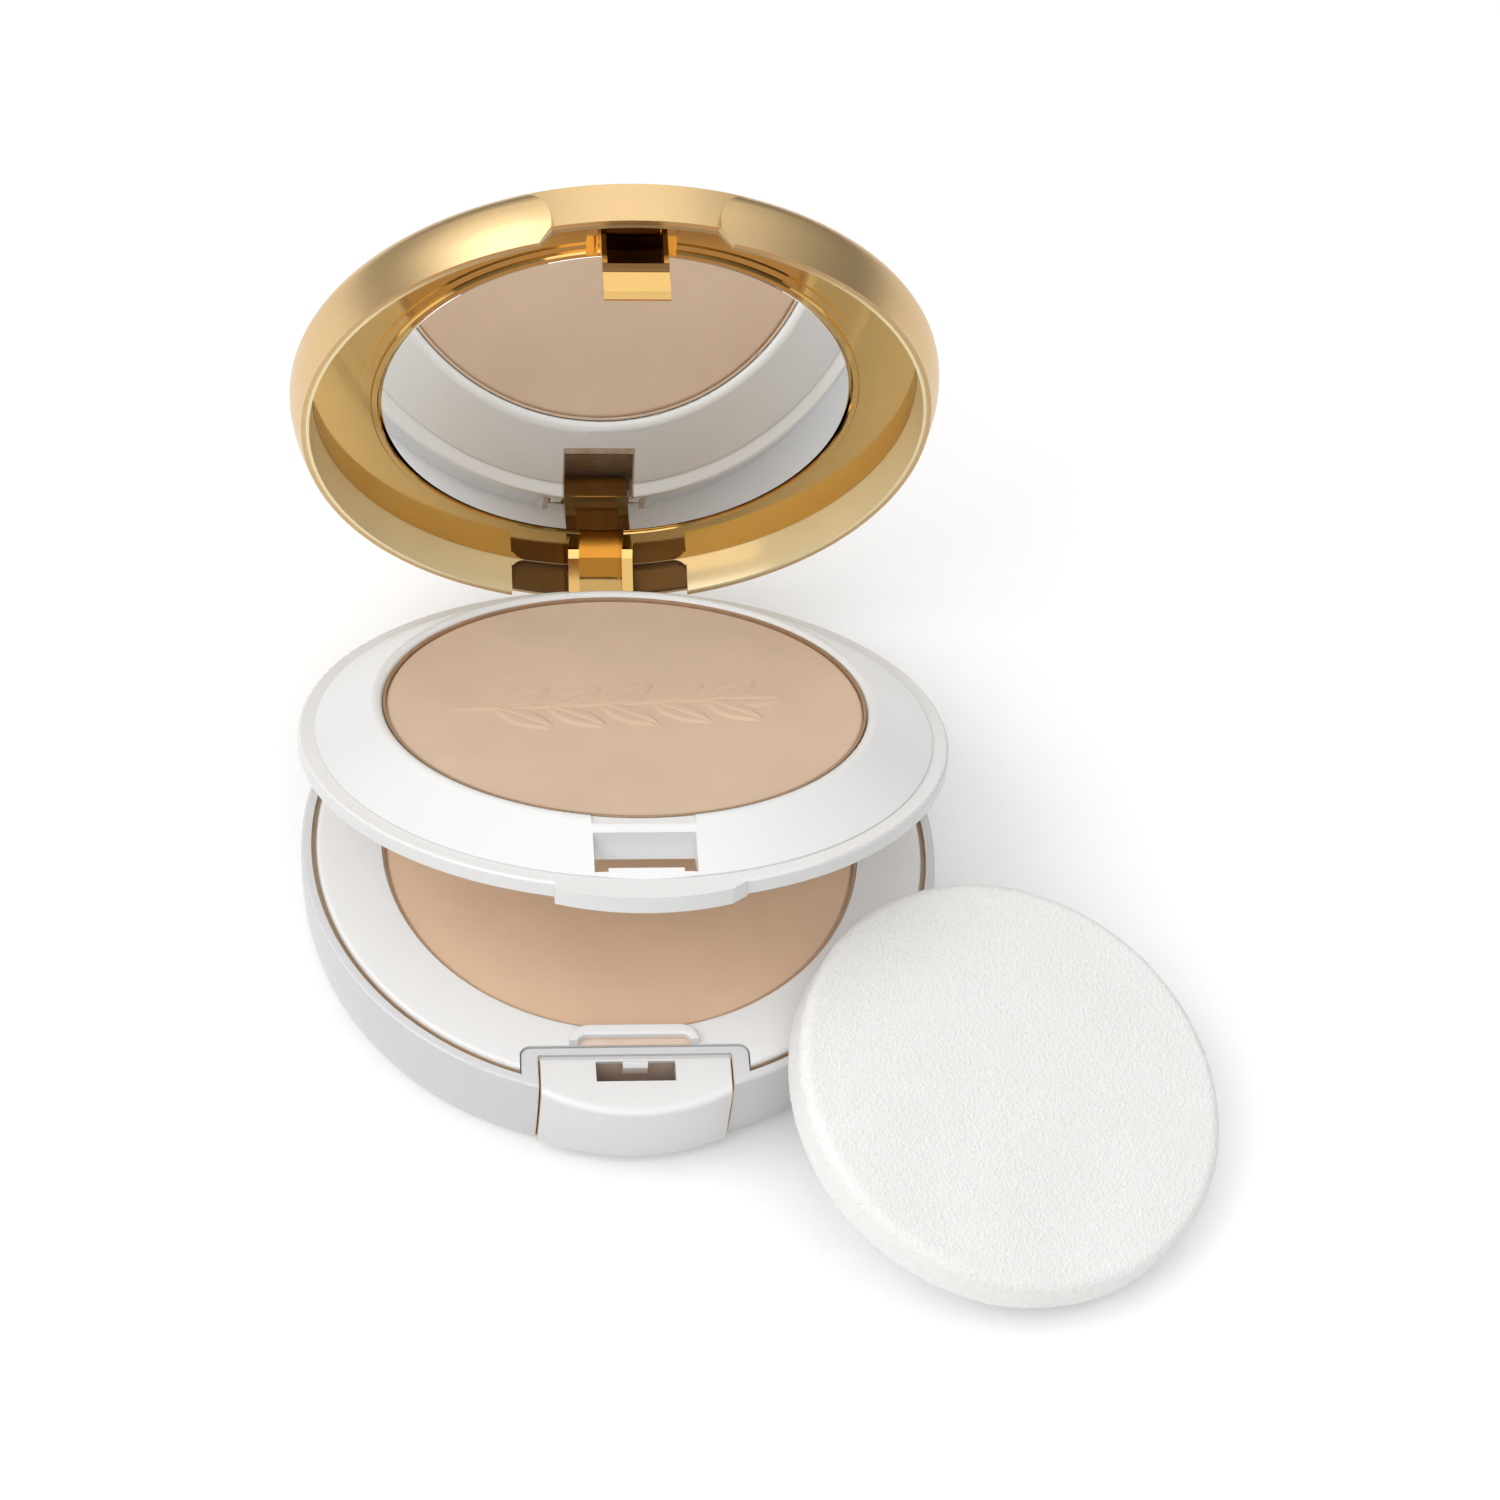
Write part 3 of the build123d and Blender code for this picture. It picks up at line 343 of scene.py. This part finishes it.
def lid_gold():
    """Satin outside, polished on the inner wall, whose pale colour is a painted reflection darkened by painted
    shade towards the front; the rear pocket is painted dark as painted shade.
    """
    s = Shader("satin_gold")
    closed = s.closed_coords(LID_OPEN)
    y, z = s.split(closed)[1:3]
    rim_z = closed_box("lid_shell", LID_OPEN)[0][2]
    inside = s.math("LESS_THAN", s.radius(closed), INNER_WALL_R)
    below_top = s.math("LESS_THAN", z, rim_z + INNER_WALL_H)
    polished = s.math("MULTIPLY", inside, below_top)
    cloud = s.noise(60, 3)
    flake = s.noise(2600, 2)
    rub = s.noise(90, 4, 0.6)
    satin_rough = s.remap(rub, *SPREAD, *SATIN_ROUGH)
    polish_rough = s.remap(cloud, *SPREAD, *INNER_ROUGH)
    rough = s.math(
        "ADD",
        s.math("MULTIPLY", satin_rough, s.math("SUBTRACT", 1.0, polished)),
        s.math("MULTIPLY", polish_rough, polished),
    )
    satin = s.mix(s.remap(flake, *CORE, 0.0, 1.0), *SATIN_TONE)
    # painted reflection: the inner wall's pale colour stands in for its reflection of the bright plate
    wall = s.mix(cloud, *INNER_REFLECTION_TONE)
    wall = s.mix(s.remap(y, *WALL_SHADE_Y, WALL_SHADE, 0.0), wall, GOLD_SHADE)
    # painted shade: the rear pocket is painted dark brown
    color = s.mix(rear_pocket(s, closed), s.mix(polished, satin, wall), GOLD_DARK)
    s.set(
        Base_Color=color,
        Metallic=s.remap(polished, 0.0, 1.0, *LID_METAL),
        Roughness=rough,
        Normal=s.bump(flake, *LID_BUMP),
    )
    return s.material


MIRROR_TONE = ((0.93, 0.935, 0.93), (0.96, 0.965, 0.96))
MIRROR_ROUGH = (0.015, 0.08)    # clear, and where fine dust lies
MIRROR_DUST = (0.55, 0.8)


def mirror_glass():
    """Silvered glass with a little dust."""
    s = Shader("mirror_glass")
    dust = s.noise(400, 5, 0.7)
    s.set(
        Base_Color=s.mix(s.noise(20), *MIRROR_TONE),
        Metallic=1.0,
        Roughness=s.remap(dust, *MIRROR_DUST, *MIRROR_ROUGH),
        Normal=s.bump(s.noise(30), 0.00001, 0.05),
    )
    return s.material


BEIGE = ((0.62, 0.455, 0.325), (0.68, 0.505, 0.365))
# painted light: the lower powder's tan is made lighter to make up for the shade it lies in under the tray
TAN = ((0.74, 0.515, 0.35), (0.80, 0.565, 0.39))
WEAVE_PITCH = 0.00052
WEAVE_SLANT = 0.7071            # both waves of the cloth run diagonally
WEAVE_COARSER = 0.6             # frequency of the second wave, as a share of the first's
WEAVE_DEPTH = (0.16, 0.10)      # of the two waves, as shares of the bump's height
GRAIN_DEPTH = 0.5               # of the powder's grain
POWDER_BUMP = (0.00004, 0.5)


def powder(name, tone, weave):
    """Pressed powder; weave adds the fine diagonal cloth mark of the pressing."""
    s = Shader(name)
    cloud = s.noise(70, 4)
    grain = s.noise(5200, 3, 0.7)
    height = s.math("MULTIPLY", grain, GRAIN_DEPTH)
    if weave:
        x, y, _ = s.split(s.closed_coords(TRAY_OPEN))
        wave = 2 * pi / WEAVE_PITCH * WEAVE_SLANT
        one = s.math("SINE", s.math("MULTIPLY", s.math("ADD", x, y), wave))
        two = s.math("SINE", s.math("MULTIPLY", s.math("SUBTRACT", x, y), wave * WEAVE_COARSER))
        one = s.math("MULTIPLY", one, WEAVE_DEPTH[0])
        two = s.math("MULTIPLY", two, WEAVE_DEPTH[1])
        cloth = s.math("ADD", one, two)
        height = s.math("ADD", height, cloth)
    blotch = s.math("ADD", s.math("MULTIPLY", cloud, 0.7), s.math("MULTIPLY", grain, 0.3))
    s.set(
        Base_Color=s.mix(s.remap(blotch, *CORE, 0.0, 1.0), *tone),
        Roughness=0.82,
        Specular_IOR_Level=0.2,
        Sheen_Weight=0.1,
        Normal=s.bump(height, *POWDER_BUMP),
    )
    return s.material


METAL_ROUGH_SPAN = 0.12
METAL_LIGHTER = 1.12            # the streaks are lighter by this factor
METAL_BUMP = (0.00001, 0.3)
SHEET_DARKER = 0.93
SHEET_BUMP = (0.00002, 0.3)


def brushed_metal(name, color, rough):
    """Bare metal with fine streaks."""
    s = Shader(name)
    streak = s.noise(700, 3)
    s.set(
        Base_Color=s.mix(streak, color, tuple(c * METAL_LIGHTER for c in color)),
        Metallic=1.0,
        Roughness=s.remap(streak, *SPREAD, rough, rough + METAL_ROUGH_SPAN),
        Normal=s.bump(streak, *METAL_BUMP),
    )
    return s.material


def plain_sheet(name, color, rough, scale):
    """Paper or adhesive film with a fibre pattern of the given scale."""
    s = Shader(name)
    fibre = s.noise(scale, 4)
    s.set(
        Base_Color=s.mix(fibre, color, tuple(c * SHEET_DARKER for c in color)),
        Roughness=rough,
        Normal=s.bump(fibre, *SHEET_BUMP),
    )
    return s.material


FOAM_TONE = ((0.82, 0.81, 0.79), (0.885, 0.88, 0.865))
FOAM_CELLS = 2600               # cells per metre
FOAM_NAP = 1900                 # scale of the soft nap over them
FOAM_BUMP = (0.00018, 0.6)


def sponge_foam():
    """Fine-celled foam with a soft nap."""
    s = Shader("sponge_foam")
    pore = s.cells(FOAM_CELLS)
    soft = s.noise(FOAM_NAP, 4, 0.65)
    cloud = s.noise(40, 3)
    height = s.math("ADD", s.math("MULTIPLY", pore, 0.9), soft)
    tone = s.math("ADD", s.math("MULTIPLY", cloud, 0.5), s.math("MULTIPLY", soft, 0.5))
    s.set(
        Base_Color=s.mix(s.remap(tone, *CORE, 0.0, 1.0), *FOAM_TONE),
        Roughness=0.95,
        Specular_IOR_Level=0.1,
        Sheen_Weight=0.15,
        Normal=s.bump(height, *FOAM_BUMP),
        Subsurface_Weight=0.1,
        Subsurface_Radius=(0.003, 0.003, 0.003),
    )
    return s.material


MATERIALS = {
    "white_gloss": white_plastic("white_gloss"),
    "polished_gold": polished_gold("polished_gold", frame_shade),
    "satin_gold": lid_gold(),
    "mirror_glass": mirror_glass(),
    "powder_beige": powder("powder_beige", BEIGE, weave=True),
    "powder_tan": powder("powder_tan", TAN, weave=False),
    "pan_aluminium": brushed_metal("pan_aluminium", (0.60, 0.46, 0.34), 0.4),
    "adhesive": plain_sheet("adhesive", (0.70, 0.70, 0.66), 0.7, 900),
    "spring_steel": brushed_metal("spring_steel", (0.55, 0.55, 0.56), 0.3),
    "label_paper": plain_sheet("label_paper", (0.90, 0.90, 0.88), 0.8, 1400),
    "sponge_foam": sponge_foam(),
}

# painted shade darkens the shell's white and painted light lightens the plate's; the white pieces also differ in
# where powder and painted shade lie
BASE_STAINS_AND_SHADE = ((RESIDUE, base_stain), (DUST_AND_SHADE_TINT, base_dust_and_shade), (NOTCH_TINT, hinge_painted_shade))
SHELL_SHADED_WHITE = white_plastic("white_shell_painted_shade", SHELL_SHADED_TONE, BASE_STAINS_AND_SHADE)
PLATE_LIT_WHITE = white_plastic("white_plate_painted_light", PLATE_LIT_TONE, BASE_STAINS_AND_SHADE)
BUTTON_WHITE = white_plastic("white_button", TRAY_TONE, BASE_STAINS_AND_SHADE)
TRAY_WHITE = white_plastic("white_tray", TRAY_TONE, ((NOTCH_TINT, notch_painted_reflection),))
for part in frame["record"]["subparts"]:
    node = frame["nodes"][part["node"]]
    node.data.materials.clear()
    node.data.materials.append(MATERIALS[part["material_slot"]])
OWN_MATERIALS = {
    "base_shell": SHELL_SHADED_WHITE,
    "base_insert": PLATE_LIT_WHITE,
    "push_button": BUTTON_WHITE,
    "tray_frame": TRAY_WHITE,
    "latch_hook": polished_gold("hook_gold", hook_pocket),
}
for name, material in OWN_MATERIALS.items():
    frame["nodes"][name].data.materials[0] = material


# ------------------------------------------------------------------ mesh helper
def mesh_object(name, points, faces, material):
    """A smooth mesh piece at its place in the row frame."""
    mesh = bpy.data.meshes.new(name)
    mesh.from_pydata([tuple(p) for p in points], [], faces)
    mesh.materials.append(material)
    mesh.polygons.foreach_set("use_smooth", [True] * len(mesh.polygons))
    mesh.update()
    piece = bpy.data.objects.new(name, mesh)
    bpy.context.scene.collection.objects.link(piece)
    return piece


def ring_faces(rings, count):
    """Quads between closed rings of equal count, with a fan at each end point."""
    faces = []
    for i in range(count):
        j = (i + 1) % count
        faces.append((0, 1 + i, 1 + j))
    for k in range(rings - 1):
        base = 1 + k * count
        for i in range(count):
            j = (i + 1) % count
            faces.append((base + i, base + count + i, base + count + j, base + j))
    last = 1 + (rings - 1) * count
    for i in range(count):
        j = (i + 1) % count
        faces.append((last + j, last + i, last + count))
    return faces


# --------------------------------------------------------------- sponge puff
PUFF_TOP_EDGE = 1.5 * MM     # rounding of the upper edge
PUFF_LOW_EDGE = 3.8 * MM     # the lower edge is pressed rounder where it leans
PUFF_CROWN = 0.25 * MM       # the faces swell a little
PUFF_SWELL = 0.16 * MM       # slow unevenness
PUFF_FUZZ = 0.10 * MM        # torn cells along the edge
PUFF_SWELL_SCALE = 95.0
PUFF_SWELL_SINK = 0.6        # both patterns mostly sink into the disc, by these shares
PUFF_FUZZ_SINK = 0.8
PUFF_CELL_SCALES = (1700.0, 3600.0)
PUFF_FINER_SHARE = 0.7       # strength of the finer cells
PUFF_FACE_FUZZ = 0.15        # share of the torn cells that the flat faces keep
PUFF_TURNS = 640             # points round each ring
PUFF_FACE_RINGS = 70
PUFF_EDGE_RINGS = 10
PUFF_WALL_RINGS = 14
PUFF_LOW_RINGS = 24
PUFF_RING_BIAS = 0.8         # below 1 the face's rings crowd towards its edge


def puff_frame():
    """Centre, face normal, downhill and level directions, radius and thickness of the puff's solid."""
    mesh = frame["nodes"]["sponge_puff"].data
    points = np.array([v.co[:] for v in mesh.vertices])
    up = max((p for p in mesh.polygons if p.normal.z > 0.8), key=lambda p: p.area).normal
    n = np.array(up)
    downhill = np.array((n[0], n[1], 0.0))
    downhill -= n * downhill.dot(n)
    downhill /= np.linalg.norm(downhill)
    across = np.cross(n, downhill)
    u, v, w = (points @ axis for axis in (downhill, across, n))
    radius = (v.max() - v.min()) / 2
    # the solid's upper end is cut off, so the centre is measured from its lower end
    centre = downhill * (u.max() - radius)
    centre = centre + across * (v.max() + v.min()) / 2 + n * (w.max() + w.min()) / 2
    return centre, n, downhill, across, radius, w.max() - w.min()


def puff_profile(radius, top, low):
    """Radius, height and outward normal of each ring from the top centre to the low centre."""
    profile = [(0.0, top, 0.0, 1.0)]
    flat = radius - PUFF_TOP_EDGE
    for k in range(1, PUFF_FACE_RINGS + 1):
        profile.append((flat * (k / PUFF_FACE_RINGS) ** PUFF_RING_BIAS, top, 0.0, 1.0))
    for k in range(1, PUFF_EDGE_RINGS + 1):
        a = pi / 2 * (1 - k / PUFF_EDGE_RINGS)
        height = top - PUFF_TOP_EDGE * (1 - sin(a))
        profile.append((flat + PUFF_TOP_EDGE * cos(a), height, cos(a), sin(a)))
    wall = top - PUFF_TOP_EDGE - low - PUFF_LOW_EDGE
    for k in range(1, PUFF_WALL_RINGS + 1):
        profile.append((radius, top - PUFF_TOP_EDGE - wall * k / PUFF_WALL_RINGS, 1.0, 0.0))
    flat = radius - PUFF_LOW_EDGE
    for k in range(1, PUFF_LOW_RINGS + 1):
        a = pi / 2 * k / PUFF_LOW_RINGS
        height = low + PUFF_LOW_EDGE * (1 - sin(a))
        profile.append((flat + PUFF_LOW_EDGE * cos(a), height, cos(a), -sin(a)))
    for k in range(PUFF_FACE_RINGS - 1, -1, -1):
        profile.append((flat * (k / PUFF_FACE_RINGS) ** PUFF_RING_BIAS, low, 0.0, -1.0))
    return profile


def puff_push(spot, side):
    """How far the foam stands out at a spot: slow unevenness, and torn cells where side is large."""
    fine, finer = PUFF_CELL_SCALES
    slow = noise.noise(spot * PUFF_SWELL_SCALE) - PUFF_SWELL_SINK
    quick = noise.noise(spot * fine) + PUFF_FINER_SHARE * noise.noise(spot * finer)
    return PUFF_SWELL * slow + PUFF_FUZZ * (quick - PUFF_FUZZ_SINK) * side


def add_puff():
    """The whole round puff, which is squeezed away from the tray as the tray moves."""
    centre, n, downhill, across, radius, thick = puff_frame()
    profile = puff_profile(radius, thick / 2, -thick / 2)
    points = []
    for r, h, out_r, out_h in profile:
        turns = 1 if r == 0 else PUFF_TURNS
        crown = -PUFF_CROWN * (r / radius) ** 2 * 2 * h / thick
        side = min(1.0, PUFF_FACE_FUZZ + abs(out_r))
        for i in range(turns):
            a = 2 * pi * i / PUFF_TURNS
            spot = Vector((r * cos(a), r * sin(a), h))
            outward = Vector((cos(a) * out_r, sin(a) * out_r, out_h))
            p = spot + outward * puff_push(spot, side)
            p.z += crown
            points.append(centre + downhill * p.x + across * p.y + n * p.z)
    faces = ring_faces(len(profile) - 2, PUFF_TURNS)
    puff = mesh_object("puff", points, faces, MATERIALS["sponge_foam"])
    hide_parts("sponge_puff")
    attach(puff, "sponge")
    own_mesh(puff)


add_puff()


# -------------------------------------------------------------- button spring
SPRING_WIRE_R = 0.16 * MM
SPRING_TURNS = 6
SPRING_STEPS = 32            # wire sections in one turn
SPRING_SIDES = 10            # points round the wire


def add_spring():
    """The button's return spring, a coil fixed to the base."""
    low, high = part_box("button_spring")
    centre = (low + high) / 2
    coil_r = (high.x - low.x) / 2 - SPRING_WIRE_R
    axis = Vector((0, 1, 0))
    front = low.y + SPRING_WIRE_R
    rear = high.y - SPRING_WIRE_R
    steps = SPRING_TURNS * SPRING_STEPS
    points = []
    for k in range(steps + 1):
        a = 2 * pi * k / SPRING_STEPS
        out = Vector((cos(a), 0, sin(a)))
        along = front + (rear - front) * k / steps
        middle = Vector((centre.x, along, centre.z)) + out * coil_r
        if k == 0:
            points.append(middle)
        for i in range(SPRING_SIDES):
            b = 2 * pi * i / SPRING_SIDES
            points.append(middle + (out * cos(b) - axis * sin(b)) * SPRING_WIRE_R)
    points.append(middle)
    faces = ring_faces(steps + 1, SPRING_SIDES)
    spring = mesh_object("spring_coil", points, faces, MATERIALS["spring_steel"])
    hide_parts("button_spring")
    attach(spring, "base")
    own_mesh(spring)


add_spring()


# -------------------------------------------------------- upper powder, embossed
CAKE_PITCH = 0.22 * MM       # between rings
CAKE_TURNS = 720             # points round each ring
CAKE_EDGE = 0.45 * MM        # rounding of its edge
SPRIG_RISE = 0.26 * MM       # height of the raised leaf sprig
SPRIG_HALF = 21 * MM
SPRIG_SOFT = 0.45 * MM       # width of its sloped edges
STEM_HALF = 0.42 * MM
STEM_SWING = 1.3 * MM        # the stem bends this far to each side
STEM_BEND = 1.4              # in radians from its middle to its end
STEM_SHIFT = 5 * MM          # the bare stem lies towards the left end
LEAF_LONG = 9.0 * MM
LEAF_WIDE = 2.0 * MM
LEAF_ROUND = 0.85            # below 1 a leaf is fuller than a sine
LEAF_LEAN = radians(38)
LEAF_COUNT = 5
LEAF_PITCH = 6.4 * MM
TIP_INSET = 10 * MM
VEIN_HALF = 0.22 * MM
VEIN_DEPTH = 0.75


def stem_y(x):
    """Where the stem's middle line runs."""
    return STEM_SWING * np.sin(x / SPRIG_HALF * STEM_BEND)


def leaf_height(x, y, root, lean):
    """0..1 height of one leaf with a sunk midrib."""
    du = x - root[0]
    dv = y - root[1]
    along = (du * cos(lean) + dv * sin(lean)) / LEAF_LONG
    off = np.abs(dv * cos(lean) - du * sin(lean))
    half = LEAF_WIDE * np.sin(pi * np.clip(along, 0, 1)) ** LEAF_ROUND
    body = np.clip((half - off) / SPRIG_SOFT, 0, 1)
    vein = 1 - VEIN_DEPTH * np.clip((VEIN_HALF - off) / VEIN_HALF + 0.5, 0, 1)
    return body * vein


def sprig_height(x, y):
    """Height of the generic leaf sprig over the cake's face."""
    stem = np.clip((STEM_HALF - np.abs(y - stem_y(x))) / SPRIG_SOFT, 0, 1)
    stem *= np.clip((SPRIG_HALF - STEM_SHIFT - np.abs(x + STEM_SHIFT)) / MM, 0, 1)
    height = stem
    for k in range(LEAF_COUNT):
        x0 = -SPRIG_HALF + STEM_SHIFT + k * LEAF_PITCH
        for side in (1, -1):
            leaf = leaf_height(x, y, (x0, stem_y(x0)), side * LEAF_LEAN)
            height = np.maximum(height, leaf)
    tip_x = SPRIG_HALF - TIP_INSET
    tip = leaf_height(x, y, (tip_x, stem_y(tip_x)), 0.0)
    height = np.maximum(height, tip)
    return height * SPRIG_RISE


def add_upper_cake():
    """The pressed cake with a soft edge and a generic leaf sprig pressed in relief."""
    low, high = closed_box("upper_powder", TRAY_OPEN)
    radius = (high[0] - low[0]) / 2
    rings = int(radius / CAKE_PITCH)
    profile = [radius * k / rings for k in range(1, rings + 1)]
    points = [(0.0, 0.0, high[2] + sprig_height(np.zeros(1), np.zeros(1))[0])]
    a = 2 * pi * np.arange(CAKE_TURNS) / CAKE_TURNS
    for r in profile:
        over = max(0.0, (r - radius + CAKE_EDGE) / CAKE_EDGE)
        drop = CAKE_EDGE * (1 - np.sqrt(max(0.0, 1 - over**2)))
        x, y = r * np.cos(a), r * np.sin(a)
        lift = sprig_height(x, y)
        points += list(zip(x, y, high[2] - drop + lift))
    x, y = radius * np.cos(a), radius * np.sin(a)
    points += list(zip(x, y, np.full(CAKE_TURNS, low[2])))
    points.append((0.0, 0.0, low[2]))
    points = np.array(points)
    turn = np.array(opened(TRAY_OPEN))
    points = points @ turn[:3, :3].T + turn[:3, 3]
    faces = ring_faces(len(profile) + 1, CAKE_TURNS)
    cake = mesh_object("upper_cake", points, faces, MATERIALS["powder_beige"])
    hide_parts("upper_powder")
    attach(cake, "tray")


add_upper_cake()


# --------------------------------------------------------------------- camera
CAMERA_AZIMUTH = -8.97          # degrees
CAMERA_ELEVATION = 48.38
CAMERA_ROLL = 6.42
CAMERA_DISTANCE = 0.58094       # from the origin, before it is shifted
CAMERA_LENS = 110.5             # focal length for the sensor below, both in millimetres
CAMERA_SENSOR = 36
CAMERA_NEAR = 0.01
AIM_RIGHT = -0.017146           # the point aimed at, across and up in the picture
AIM_UP = -0.020732
FIT_HEIGHT = 0.000797           # the camera stands this much lower


def add_camera():
    """In front of the compact, a little to the left and high, rolled slightly."""
    a = radians(CAMERA_AZIMUTH)
    e = radians(CAMERA_ELEVATION)
    g = radians(CAMERA_ROLL)
    back = Vector((sin(a) * cos(e), -cos(a) * cos(e), sin(e)))
    flat = Vector((cos(a), sin(a), 0))
    rise = back.cross(flat)
    right = flat * cos(g) + rise * sin(g)
    up = rise * cos(g) - flat * sin(g)
    place = back * CAMERA_DISTANCE - right * AIM_RIGHT - up * AIM_UP
    place -= Vector((0, 0, FIT_HEIGHT))
    data = bpy.data.cameras.new("camera")
    data.lens = CAMERA_LENS
    data.sensor_width = CAMERA_SENSOR
    data.clip_start = CAMERA_NEAR
    camera = bpy.data.objects.new("camera", data)
    bpy.context.scene.collection.objects.link(camera)
    camera.matrix_world = Matrix.Translation(place) @ Matrix((right, up, back)).transposed().to_4x4()
    bpy.context.scene.camera = camera


def add_lamp(name, place, size, power):
    """A round soft lamp aimed at the compact."""
    data = bpy.data.lights.new(name, "AREA")
    data.shape = "DISK"
    data.size = size
    data.energy = power
    light = bpy.data.objects.new(name, data)
    bpy.context.scene.collection.objects.link(light)
    light.location = place
    light.rotation_euler = (LAMP_AIM - Vector(place)).to_track_quat("-Z", "Y").to_euler()


FLOOR_SIZE = 6
FLOOR_DROP = 0.00002            # keeps the floor clear of the base's flat face
FLOOR_GLOW = 0.05               # the floor is lit a little from below
FLOOR_TONE = ((0.96, 0.96, 0.96), (0.98, 0.98, 0.98))


def add_floor():
    """A plain pale floor, which is stage and not part of the object."""
    bpy.ops.mesh.primitive_plane_add(size=FLOOR_SIZE, location=(0, 0, -FLOOR_DROP))
    floor = bpy.context.object
    floor.name = "floor"
    s = Shader("floor")
    s.set(
        Base_Color=s.mix(s.noise(3), *FLOOR_TONE),
        Roughness=0.7,
        Specular_IOR_Level=0.1,
        Emission_Color=(1.0, 1.0, 1.0),
        Emission_Strength=FLOOR_GLOW,
    )
    floor.data.materials.append(s.material)


SKY_LOW = 0.02                  # even part of the room's light
SKY_TOP = 1.30                  # overhead
SKY_TOP_POWER = 2.0             # how closely that part gathers round straight up
SKY_LEFT = 0.27
SKY_RIGHT = 0.14
SKY_FRONT = 0.03
SKY_BACK = 0.05


def add_world():
    """Soft white room whose brightness differs by direction."""
    world = bpy.data.worlds.new("studio")
    world.use_nodes = True
    tree = world.node_tree

    def node(operation, first, second):
        made = tree.nodes.new("ShaderNodeMath")
        made.operation = operation
        for socket, value in zip(made.inputs, (first, second)):
            if isinstance(value, bpy.types.NodeSocket):
                tree.links.new(value, socket)
            else:
                socket.default_value = value
        return made.outputs[0]

    coords = tree.nodes.new("ShaderNodeTexCoord").outputs["Generated"]
    split = tree.nodes.new("ShaderNodeSeparateXYZ")
    tree.links.new(coords, split.inputs[0])
    x, y, z = split.outputs
    strength = node("MULTIPLY", node("POWER", node("MAXIMUM", z, 0.0), SKY_TOP_POWER), SKY_TOP)
    sides = ((x, -1.0, SKY_LEFT), (x, 1.0, SKY_RIGHT), (y, -1.0, SKY_FRONT), (y, 1.0, SKY_BACK))
    for axis, sign, part in sides:
        facing = node("MAXIMUM", node("MULTIPLY", axis, sign), 0.0)
        strength = node("ADD", strength, node("MULTIPLY", facing, part))
    strength = node("ADD", strength, SKY_LOW)
    background = tree.nodes["Background"]
    background.inputs["Color"].default_value = (1, 1, 1, 1)
    tree.links.new(strength, background.inputs["Strength"])
    bpy.context.scene.world = world


LAMP_AIM = Vector((0, 0, 0.02))
# name, place, diameter, power
LAMPS = (
    ("left", (-0.6, 0.05, 0.6), 0.6, 0.5),
    ("left_front", (-0.55, -0.3, 0.7), 0.7, 2.2),
    ("front", (-0.1, -0.75, 0.5), 0.6, 1.3),
    ("top_back", (0.05, 0.35, 0.85), 0.7, 0.45),
)

add_camera()
add_floor()
add_world()
for name, place, size, power in LAMPS:
    add_lamp(name, place, size, power)
bpy.context.scene.view_settings.view_transform = "Standard"
